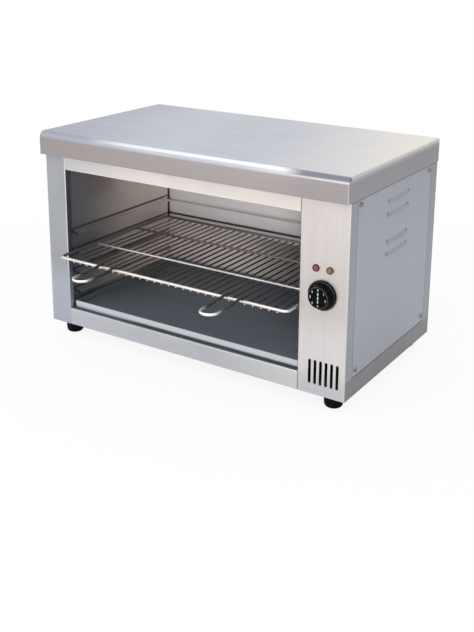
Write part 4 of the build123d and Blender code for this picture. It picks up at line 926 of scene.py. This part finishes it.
@dataclass
class ControlBay(SubAssembly):
    """Lamps, regulator, terminals, leads and the cord entry."""

    dressings: tuple[Dressing, ...] = (
        Dressing(HOUSING, "housing", 35.0, ("regulator_body",)),
        Dressing(ZINC, "fastener", 35.0, ("regulator_screws",)),
        Dressing(BEZEL, "bezel", 35.0, ("lamp_bezels",)),
        Dressing(HOUSING, "housing", 35.0, ("lamp_bodies",)),
        Dressing(ZINC, "fastener", 35.0, ("lamp_clips",)),
        Dressing(PALE_MOULDING, "terminal_plastic", 35.0, ("terminal_block",)),
        Dressing(BRASS, "brass", 35.0, ("earth_stud", "earth_nut")),
        Dressing(SLEEVE, "lead_sleeve", 35.0, ("internal_leads",)),
        Dressing(HOUSING, "housing", 35.0, ("cable_gland", "gland_locknut")))
    lenses: tuple[tuple[str, Finish, Finish, str], ...] = (
        ("red_lamp_lens", RED_LENS, RED_RIM, "red_lens"),
        ("amber_lamp_lens", AMBER_LENS, AMBER_RIM, "amber_lens"))
    rim_width: float = 1.6 * MM
    rim_setback: float = 1.2 * MM
    rim_floor: float = 1.0 * MM
    shank_share: float = 0.8
    dome_setback: float = 0.35 * MM
    dome_back: float = 0.9 * MM
    dome_play: float = 0.05 * MM

    def build(self) -> None:
        """Dresses the control bay and makes its lenses."""
        super().build()
        for node, finish, rim, slot in self.lenses:
            self.lens(node, finish, rim, slot)

    def lens(self, node: str, finish: Finish, rim: Finish, slot: str) -> None:
        """A lamp lens: a dark rim with a half round edge, and a quarter ellipse turned to a paler dome.

        Args:
            node: the CAD lens.
            finish: finish of the dome.
            rim: finish of the rim.
            slot: the record's material slot.
        """
        low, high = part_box(node)
        centre = turning_point(low, high)
        outer, half = (high.x - low.x) / 2, self.rim_width / 2
        inner, shank = outer - self.rim_width, outer * self.shank_share
        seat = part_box("lamp_bezels")[0].y
        top = low.y + self.rim_setback
        ring = arc((outer - half, top + half), (half, -half), (0.0, 1.0), count=13)
        body = np.concatenate([[[0.0, high.y], [shank, high.y], [shank, seat], [outer, seat]],
                               ring, [[inner, top + self.rim_floor], [0.0, top + self.rim_floor]]])
        self.piece(f"{node}_rim", lathe(body, centre), rim, slot, [node])
        width, foot = inner - self.dome_play, top + self.dome_setback
        dome = arc((0.0, foot), (width, low.y - foot), (0.0, 0.5), count=9)
        closed = np.concatenate([[[0.0, top + self.dome_back], [width, top + self.dome_back]], dome])
        self.piece(f"{node}_dome", lathe(closed, centre), finish, slot)


@dataclass
class Knob(SubAssembly):
    """Turned knob with its marks; radii and depths are those of its profile."""

    body: str = "knob"
    hollow_radius: float = 17.5 * MM
    hollow_mouth: float = 18.6 * MM
    hollow_depth: float = 2.6 * MM
    foot_edge: float = 0.4 * MM
    skirt_thickness: float = 3.6 * MM
    skirt_edge: float = 1.2 * MM
    root_width: float = 1.0 * MM
    root_edge: float = 0.3 * MM
    body_base: float = 20.4 * MM
    body_face: float = 17.0 * MM
    waist_hollow: float = 0.5 * MM
    face_edge: float = 1.6 * MM
    face_border: float = 2.6 * MM
    dish_border: float = 3.2 * MM
    dish_depth: float = 0.25 * MM
    bead: float = 0.75 * MM
    face_bead_inset: tuple[float, float] = (0.9 * MM, 0.7 * MM)
    skirt_bead_inset: tuple[float, float] = (1.9 * MM, 0.35 * MM)
    ring_radius: float = 12.8 * MM
    figure_height: float = 3.6 * MM
    figure_share: float = 0.72
    figure_weight: float = 0.12 * MM
    mark_height: float = 0.12 * MM
    pointer_dashes: int = 3
    dash_pitch: float = 6.0 * MM
    dash_length: float = 4.4 * MM
    dash_width: float = 2.0 * MM
    figures: tuple[tuple[str, float], ...] = (
        ("0", 0.0), ("1", 50.0), ("2", 100.0), ("3", 180.0), ("4", 227.0), ("5", 270.0), ("6", 312.0))

    def build(self) -> None:
        """Makes the knob's body, its edge rings that paint a highlight, and its marks, and dresses the
        spindle.
        """
        low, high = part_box("control_knob")
        centre = turning_point(low, high)
        face, back, rim = low.y, high.y, (high.x - low.x) / 2
        front = back - self.skirt_thickness
        body = lathe(self.profile(face, back, rim), centre)
        self.piece("control_knob_turned", body, BLACK, "black_plastic", ["control_knob"], sharp_deg=35.0)
        spots = ((self.body_face - self.face_bead_inset[0], face + self.face_bead_inset[1]),
                 (rim - self.skirt_bead_inset[0], front + self.skirt_bead_inset[1]))
        beads = [lathe(arc(spot, (self.bead, self.bead), (0.0, 2.0), count=13), centre, 72) for spot in spots]
        self.piece("knob_highlight_rings", joined(beads), EDGE, "black_plastic", sharp_deg=60.0)
        self.rounded("regulator_spindle", ZINC, "fastener", sharp_deg=40.0)
        self.pointer(centre, face + self.dish_depth)
        for index, (text, degrees) in enumerate(self.figures):
            angle = math.radians(degrees)
            across, up = self.ring_radius * math.sin(angle), self.ring_radius * math.cos(angle)
            spot = (centre[0] + across, face + self.dish_depth, centre[2] + up)
            self.piece(f"knob_figure_{index}", self.figure(text, spot), MARKS, "bezel")

    def profile(self, face: float, back: float, rim: float) -> np.ndarray:
        """Outline of the knob: a hollow back, a skirt, a waisted body and a dished face.

        Its edges are quarter circles, and the waist is a straight flank less a half sine wave.

        Args:
            face, back: depth of its face and its back.
            rim: radius of its skirt.

        Returns:
            Radius and depth of each ring, from the back's middle to the face's middle.
        """
        floor, front, dish = back - self.hollow_depth, back - self.skirt_thickness, face + self.dish_depth
        edge, front_edge = self.skirt_edge, self.face_edge
        flank = np.linspace(0.0, 1.0, 9)[1:-1]
        slope = (self.body_face - self.body_base) * flank
        waist = self.body_base + slope - self.waist_hollow * np.sin(np.pi * flank)
        depth = front + (face + front_edge - front) * flank
        return np.concatenate([
            [[0.0, floor], [self.hollow_radius, floor], [self.hollow_mouth, back]],
            [[rim - self.foot_edge, back], [rim, back - self.foot_edge], [rim, front + edge]],
            arc((rim - edge, front + edge), (edge, -edge), (0.0, 0.5), count=7),
            [[self.body_base + self.root_width, front]],
            [[self.body_base + self.root_edge, front - self.root_edge]],
            np.stack([waist, depth], -1),
            arc((self.body_face - front_edge, face + front_edge), (front_edge, -front_edge), (0.0, 0.5),
                count=7),
            [[self.body_face - self.face_border, face], [self.body_face - self.dish_border, dish]],
            [[0.0, dish]]])

    def pointer(self, centre: Point, plane: float) -> None:
        """Dashed pointer line: flat boxes in a row.

        Args:
            centre: a point on the knob's axis.
            plane: depth of the face that carries it.
        """
        half = np.array([self.dash_width, 0.0, self.dash_length]) / 2
        corners = np.array([[-1, 0, -1], [1, 0, -1], [1, 0, 1], [-1, 0, 1]]) * half
        front = corners + np.array([centre[0], plane - self.mark_height, centre[2]])
        rear = corners + np.array([centre[0], plane, centre[2]])
        faces = [[0, 1, 2, 3], [7, 6, 5, 4], [0, 4, 5, 1], [1, 5, 6, 2], [2, 6, 7, 3], [3, 7, 4, 0]]
        dash = np.concatenate([front, rear]), np.array(faces)
        dashes = repeated(dash, Axis.Z.row(evenly(self.pointer_dashes, self.dash_pitch)))
        self.piece("knob_pointer", dashes, MARKS, "bezel")

    def figure(self, text: str, spot: Point) -> Surface:
        """Outline of a figure as a thin solid.

        Args:
            text: the figure.
            spot: its middle, on the face that carries it.

        Returns:
            Its points and triangles.
        """
        curve = bpy.data.curves.new("figure", "FONT")
        curve.body = text
        curve.size = self.figure_height / self.figure_share
        curve.extrude = self.mark_height / 2
        curve.offset = self.figure_weight
        curve.resolution_u = 3
        holder = bpy.data.objects.new("figure", curve)
        mesh = bpy.data.meshes.new_from_object(holder)
        flat = read(mesh.vertices, "co", 3, float)
        middle = (flat.min(0) + flat.max(0)) / 2
        points = np.stack([flat[:, 0] - middle[0] + spot[0], spot[1] - self.mark_height / 2 - flat[:, 2],
                           flat[:, 1] - middle[1] + spot[2]], -1)
        mesh.calc_loop_triangles()
        triangles = read(mesh.loop_triangles, "vertices", 3, np.int64)
        bpy.data.objects.remove(holder)
        bpy.data.curves.remove(curve)
        bpy.data.meshes.remove(mesh)
        return points, triangles


@dataclass
class Rack(SubAssembly):
    """Wire rack with its two handles; wires and rods are given by their radius."""

    body: str = "rack"
    frame_wire: float = 2.5 * MM
    cross_wire: float = 2.0 * MM
    rod: float = 1.5 * MM
    bite: float = 0.3 * MM
    rod_count: int = 30
    rod_pitch: float = 14.75 * MM
    rod_end: float = 1.0 * MM
    rod_weld: Point = (1.3 * MM, 1.7 * MM, 0.9 * MM)
    cross_setback: float = 97.0 * MM
    corner: float = 9.0 * MM
    handle_wire: float = 2.25 * MM
    handle_half_width: float = 14.5 * MM
    handle_end: tuple[float, ...] = (0.0, 0.25, 0.6, 1.0)
    handle_end_share: float = 0.7
    handle_weld: Point = (2.1 * MM, 1.5 * MM, 1.1 * MM)
    weld_shift: float = 1.4 * MM
    tail: float = 4.0 * MM
    ramp: float = 40.0 * MM
    drop: float = 2.4 * MM
    handles: tuple[str, ...] = ("left_rack_handle", "right_rack_handle")

    def __post_init__(self) -> None:
        """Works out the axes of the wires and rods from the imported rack's box."""
        low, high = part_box("wire_rack")
        wire = self.frame_wire
        self.left: float = low.x + wire
        self.right: float = high.x - wire
        self.front: float = low.y + wire
        self.rear: float = high.y - wire
        self.level: float = high.z - wire
        self.rod_level: float = self.level - wire - self.rod + self.bite
        self.columns: np.ndarray = evenly(self.rod_count, self.rod_pitch) + (self.left + self.right) / 2
        self.rows: np.ndarray = np.array([self.front + self.cross_setback, self.rear - self.cross_setback])

    def build(self) -> None:
        """Makes the rack and both handles."""
        outline = self.outline()
        loop = tube(outline, np.full(len(outline), self.frame_wire), sides=20, closed=True)
        wires = joined([loop, self.crossings()])
        self.piece("wire_rack_frame", wires, WIRE, "rack_wire", ["wire_rack"], sharp_deg=50.0)
        self.piece("wire_rack_rods", self.rods(), ROD, "rack_wire", ["wire_rack"], sharp_deg=50.0)
        self.piece("rack_welds", self.welds(), WELD, "rack_wire", sharp_deg=60.0)
        for node in self.handles:
            self.handle(node)

    def outline(self) -> np.ndarray:
        """Rounded rectangle: a quarter circle at each corner, with even steps on each side between."""
        r = self.corner
        centres = [(self.right - r, self.rear - r), (self.left + r, self.rear - r),
                   (self.left + r, self.front + r), (self.right - r, self.front + r)]
        arcs = [arc(centre, (r, r), (k / 2, (k + 1) / 2), count=12) for k, centre in enumerate(centres)]
        share = np.linspace(0.0, 1.0, 14)[1:-1, None]
        sides = [arcs[k][-1] * (1 - share) + arcs[(k + 1) % 4][0] * share for k in range(4)]
        flat = np.concatenate([part for pair in zip(arcs, sides) for part in pair])
        return np.column_stack([flat, np.full(len(flat), self.level)])

    def rods(self) -> Surface:
        """Thin rods from front to rear with rounded ends, evenly spaced, under the frame wire."""
        stations, radii = domed(self.rear - self.front + 2 * self.rod_end, self.rod, rings=5, middle=6)
        path = Axis.Y.row(self.front - self.rod_end + stations) + np.array([0.0, 0.0, self.rod_level])
        return repeated(tube(path, radii, sides=12), Axis.X.row(self.columns))

    def crossings(self) -> Surface:
        """The two cross wires between the side wires, over the rods."""
        stations = np.linspace(self.left, self.right, 24)
        level = self.rod_level + self.rod + self.cross_wire - self.bite
        path = Axis.X.row(stations) + np.array([0.0, 0.0, level])
        return repeated(tube(path, np.full(len(path), self.cross_wire)), Axis.Y.row(self.rows))

    def welds(self) -> Surface:
        """Small melted nuggets where rods meet the frame and cross wires."""
        x, y = np.meshgrid(self.columns, [self.front, self.rear, *self.rows])
        spots = np.stack([x.ravel(), y.ravel(), np.full(x.size, self.rod_level + self.rod)], -1)
        return repeated(nugget(self.rod_weld, rings=6, sides=10), spots)

    def handle(self, node: str) -> None:
        """One handle with domed ends, and the weld nuggets at its ends.

        Args:
            node: the CAD handle.
        """
        low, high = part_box(node)
        middle = (low.x + high.x) / 2
        path = self.handle_path(middle, low.y + self.handle_wire + self.handle_half_width)
        rings = len(self.handle_end)
        radii = np.full(len(path), self.handle_wire)
        radii[:rings] *= np.sin(np.linspace(0.0, np.pi / 2, rings))
        radii[-rings:] = radii[:rings][::-1]
        self.piece(f"{node}_drawn", tube(path, radii, sides=18), HANDLE, "rack_wire", [node], sharp_deg=50.0)
        spots = np.array([[middle + side, self.front + shift, self.level + self.frame_wire]
                          for side in (-self.handle_half_width, self.handle_half_width)
                          for shift in (-self.weld_shift, self.weld_shift)])
        beads = repeated(nugget(self.handle_weld, rings=7, sides=12), spots)
        self.piece(f"{node}_welds", beads, WELD, "rack_wire", sharp_deg=60.0)

    def handle_path(self, middle: float, turn: float) -> np.ndarray:
        """Centre line of a handle.

        It has two straight legs with a smooth step, 3 s s - 2 s s s, down from the frame wire, and a
        half circle between them.

        Args:
            middle: x of the handle's middle.
            turn: y of the half circle's middle.

        Returns:
            Its points, with close ones at both ends for the domes.
        """
        half = self.handle_half_width
        over = self.level + self.frame_wire + self.handle_wire
        end, crest = self.front + self.tail, self.front - self.tail
        foot = crest - self.ramp
        y = np.concatenate([end - np.array(self.handle_end) * self.handle_wire * self.handle_end_share,
                            np.linspace(end, crest, 6)[1:],
                            np.linspace(crest, foot, 20)[1:],
                            np.linspace(foot, turn, 8)[1:]])
        share = np.clip((crest - y) / self.ramp, 0.0, 1.0)
        z = over - self.drop * share * share * (3 - 2 * share)
        leg = np.column_stack([np.full(len(y), middle - half), y, z])
        bend = arc((middle, turn), (half, half), (1.0, 2.0), count=28)[1:-1]
        other = leg[::-1] * np.array([-1.0, 1.0, 1.0]) + np.array([2 * middle, 0.0, 0.0])
        return np.concatenate([leg, np.column_stack([bend, np.full(len(bend), over - self.drop)]), other])


@dataclass
class Tray(SubAssembly):
    """Crumb tray."""

    body: str = "tray"
    dressings: tuple[Dressing, ...] = (Dressing(TRAY, "tray", 30.0, ("crumb_tray",)),)


# ------------------------------------------------------------------ studio

COOL: Point = (0.95, 0.97, 1.0)
WARM: Point = (1.0, 0.98, 0.96)
WHITE: Colour = (1.0, 1.0, 1.0, 1.0)


def turned(right: np.ndarray, up: np.ndarray, back: np.ndarray) -> Any:
    """Quaternion of the rotation whose columns are right, up and back."""
    return Matrix(np.stack([right, up, back], -1).tolist()).to_quaternion()


@dataclass(frozen=True)
class Softbox:
    """A rectangular area light.

    Fields: its name, its place, where it points, its width and height in metres, its watts and colour,
    and the slope above which its side is taken from the Y axis.
    """

    name: str
    at: Point
    target: Point
    size: tuple[float, float]
    watts: float
    colour: Point
    steep: float = 0.9

    def build(self) -> None:
        """Hangs the light."""
        light = bpy.data.lights.new(self.name, "AREA")
        light.shape = "RECTANGLE"
        light.size, light.size_y = self.size
        light.energy = self.watts
        light.color = self.colour
        away = np.array(self.at) - np.array(self.target)
        away = away / np.linalg.norm(away)
        side = np.cross(Axis.Y.value if abs(away[2]) > self.steep else Axis.Z.value, away)
        side = side / np.linalg.norm(side)
        made = stand(self.name, light)
        made.location = self.at
        made.rotation_mode = "QUATERNION"
        made.rotation_quaternion = turned(side, np.cross(away, side), away)


@dataclass
class Studio:
    """Floor, world, soft lights and the camera of the photograph; lengths in metres, angles in radians."""

    camera_at: Point = (0.8785, -1.3178, 0.7059)
    yaw: float = 0.57655
    pitch: float = 0.2580
    roll: float = 0.0054
    focal_px: float = 953.5
    centre_px: tuple[float, float] = (235.36, 190.0)
    image: tuple[int, int] = (474, 632)
    sensor_mm: float = 36.0
    floor_half: float = 14.0
    floor_points: int = 9
    floor_grey: float = 0.86
    shadow_reach: tuple[float, float] = (0.5, 1.2)
    white_near: float = 0.9
    ambient: float = 0.55
    lights: tuple[Softbox, ...] = (
        Softbox("overhead_softbox", (0.1, 0.1, 2.3), (0.0, 0.05, 0.3), (3.0, 3.0), 28.0, COOL),
        Softbox("low_front_softbox", (0.2, -2.0, 0.27), (0.0, 0.1, 0.27), (4.0, 0.5), 19.0, WARM),
        Softbox("high_front_softbox", (0.2, -1.9, 1.9), (0.0, 0.1, 0.2), (3.6, 1.2), 24.0, WARM),
        Softbox("left_fill", (-2.2, -1.0, 1.2), (0.0, 0.0, 0.2), (1.6, 1.6), 4.0, COOL))

    def build(self) -> None:
        """Makes the floor, the world, the lights and the camera."""
        self.floor()
        self.world()
        for light in self.lights:
            light.build()
        self.camera()

    def floor(self) -> None:
        """Large flat floor, white to the camera but with the object's shadow."""
        reach = np.linspace(-self.floor_half, self.floor_half, self.floor_points)
        x, y = np.meshgrid(reach, reach, indexing="ij")
        points = np.stack([x, y, np.zeros_like(x)], -1).reshape(-1, 3)
        faces = quads(self.floor_points, self.floor_points)[:, ::-1]
        mesh = bpy.data.meshes.new("floor")
        mesh.from_pydata(points.tolist(), [], faces.tolist())
        material = bpy.data.materials.new("pale_floor")
        tree = Tree.cleared(material)
        matt = tree.add("BsdfDiffuse", {"Color": (*(self.floor_grey,) * 3, 1.0)})
        white = tree.add("Emission", {"Color": WHITE, "Strength": 1.0})
        rays = tree.add("LightPath", {}).outputs
        place = tree.add("TexCoord", {}).outputs["Object"]
        far = tree.add("VectorMath", {0: place}, operation="LENGTH").outputs["Value"]
        white_share = tree.span(far, *self.shadow_reach, self.white_near)
        seen = tree.number("MULTIPLY", rays["Is Camera Ray"], white_share)
        shown = tree.add("MixShader", {0: seen, 1: matt.outputs[0], 2: white.outputs[0]})
        tree.add("OutputMaterial", {"Surface": shown.outputs[0]})
        mesh.materials.append(material)
        made = stand("floor", mesh)

    def world(self) -> None:
        """White background that metal reflects too, with a softer level for diffuse light."""
        world = bpy.data.worlds.new("studio")
        tree = Tree.cleared(world)
        rays = tree.add("LightPath", {}).outputs
        seen = tree.number("MAXIMUM", rays["Is Camera Ray"], rays["Is Glossy Ray"])
        seen = tree.number("MAXIMUM", seen, rays["Is Transmission Ray"])
        soft = tree.add("Background", {"Color": (0.97, 0.98, 1.0, 1.0), "Strength": self.ambient})
        white = tree.add("Background", {"Color": WHITE, "Strength": 1.0})
        shown = tree.add("MixShader", {0: seen, 1: soft.outputs[0], 2: white.outputs[0]})
        tree.add("OutputWorld", {"Surface": shown.outputs[0]})
        bpy.context.scene.world = world

    def camera(self) -> None:
        """Camera at the photograph's viewpoint, with the shift that its framing needs."""
        data = bpy.data.cameras.new("camera")
        width, height = self.image
        long_side = max(width, height)
        data.sensor_width = self.sensor_mm
        data.lens = self.focal_px * self.sensor_mm / long_side
        data.shift_x = (width / 2 - self.centre_px[0]) / long_side
        data.shift_y = (self.centre_px[1] - height / 2) / long_side
        data.clip_start, data.clip_end = 0.05, 60.0
        yaw, pitch, roll = self.yaw, self.pitch, self.roll
        level = math.cos(pitch)
        ahead = np.array([-math.sin(yaw) * level, math.cos(yaw) * level, -math.sin(pitch)])
        right = np.array([math.cos(yaw), math.sin(yaw), 0.0])
        up = np.cross(right, ahead)
        tilted_right = right * math.cos(roll) + up * math.sin(roll)
        tilted_up = up * math.cos(roll) - right * math.sin(roll)
        made = stand("camera", data)
        made.location = self.camera_at
        made.rotation_mode = "QUATERNION"
        made.rotation_quaternion = turned(tilted_right, tilted_up, -ahead)
        bpy.context.scene.camera = made
        bpy.context.scene.view_settings.view_transform = "Standard"


def main() -> None:
    """Builds the machine and the studio."""
    logging.basicConfig(level=logging.INFO, format="%(name)s: %(message)s")
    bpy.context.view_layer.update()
    Effects.build()
    palette = Palette()
    for part in (Shell, Cavity, ControlBay, Knob, Rack, Tray):
        part(palette).build()
        LOG.info("built %s", part.__name__)
    Studio().build()


if __name__ == "__main__":
    main()
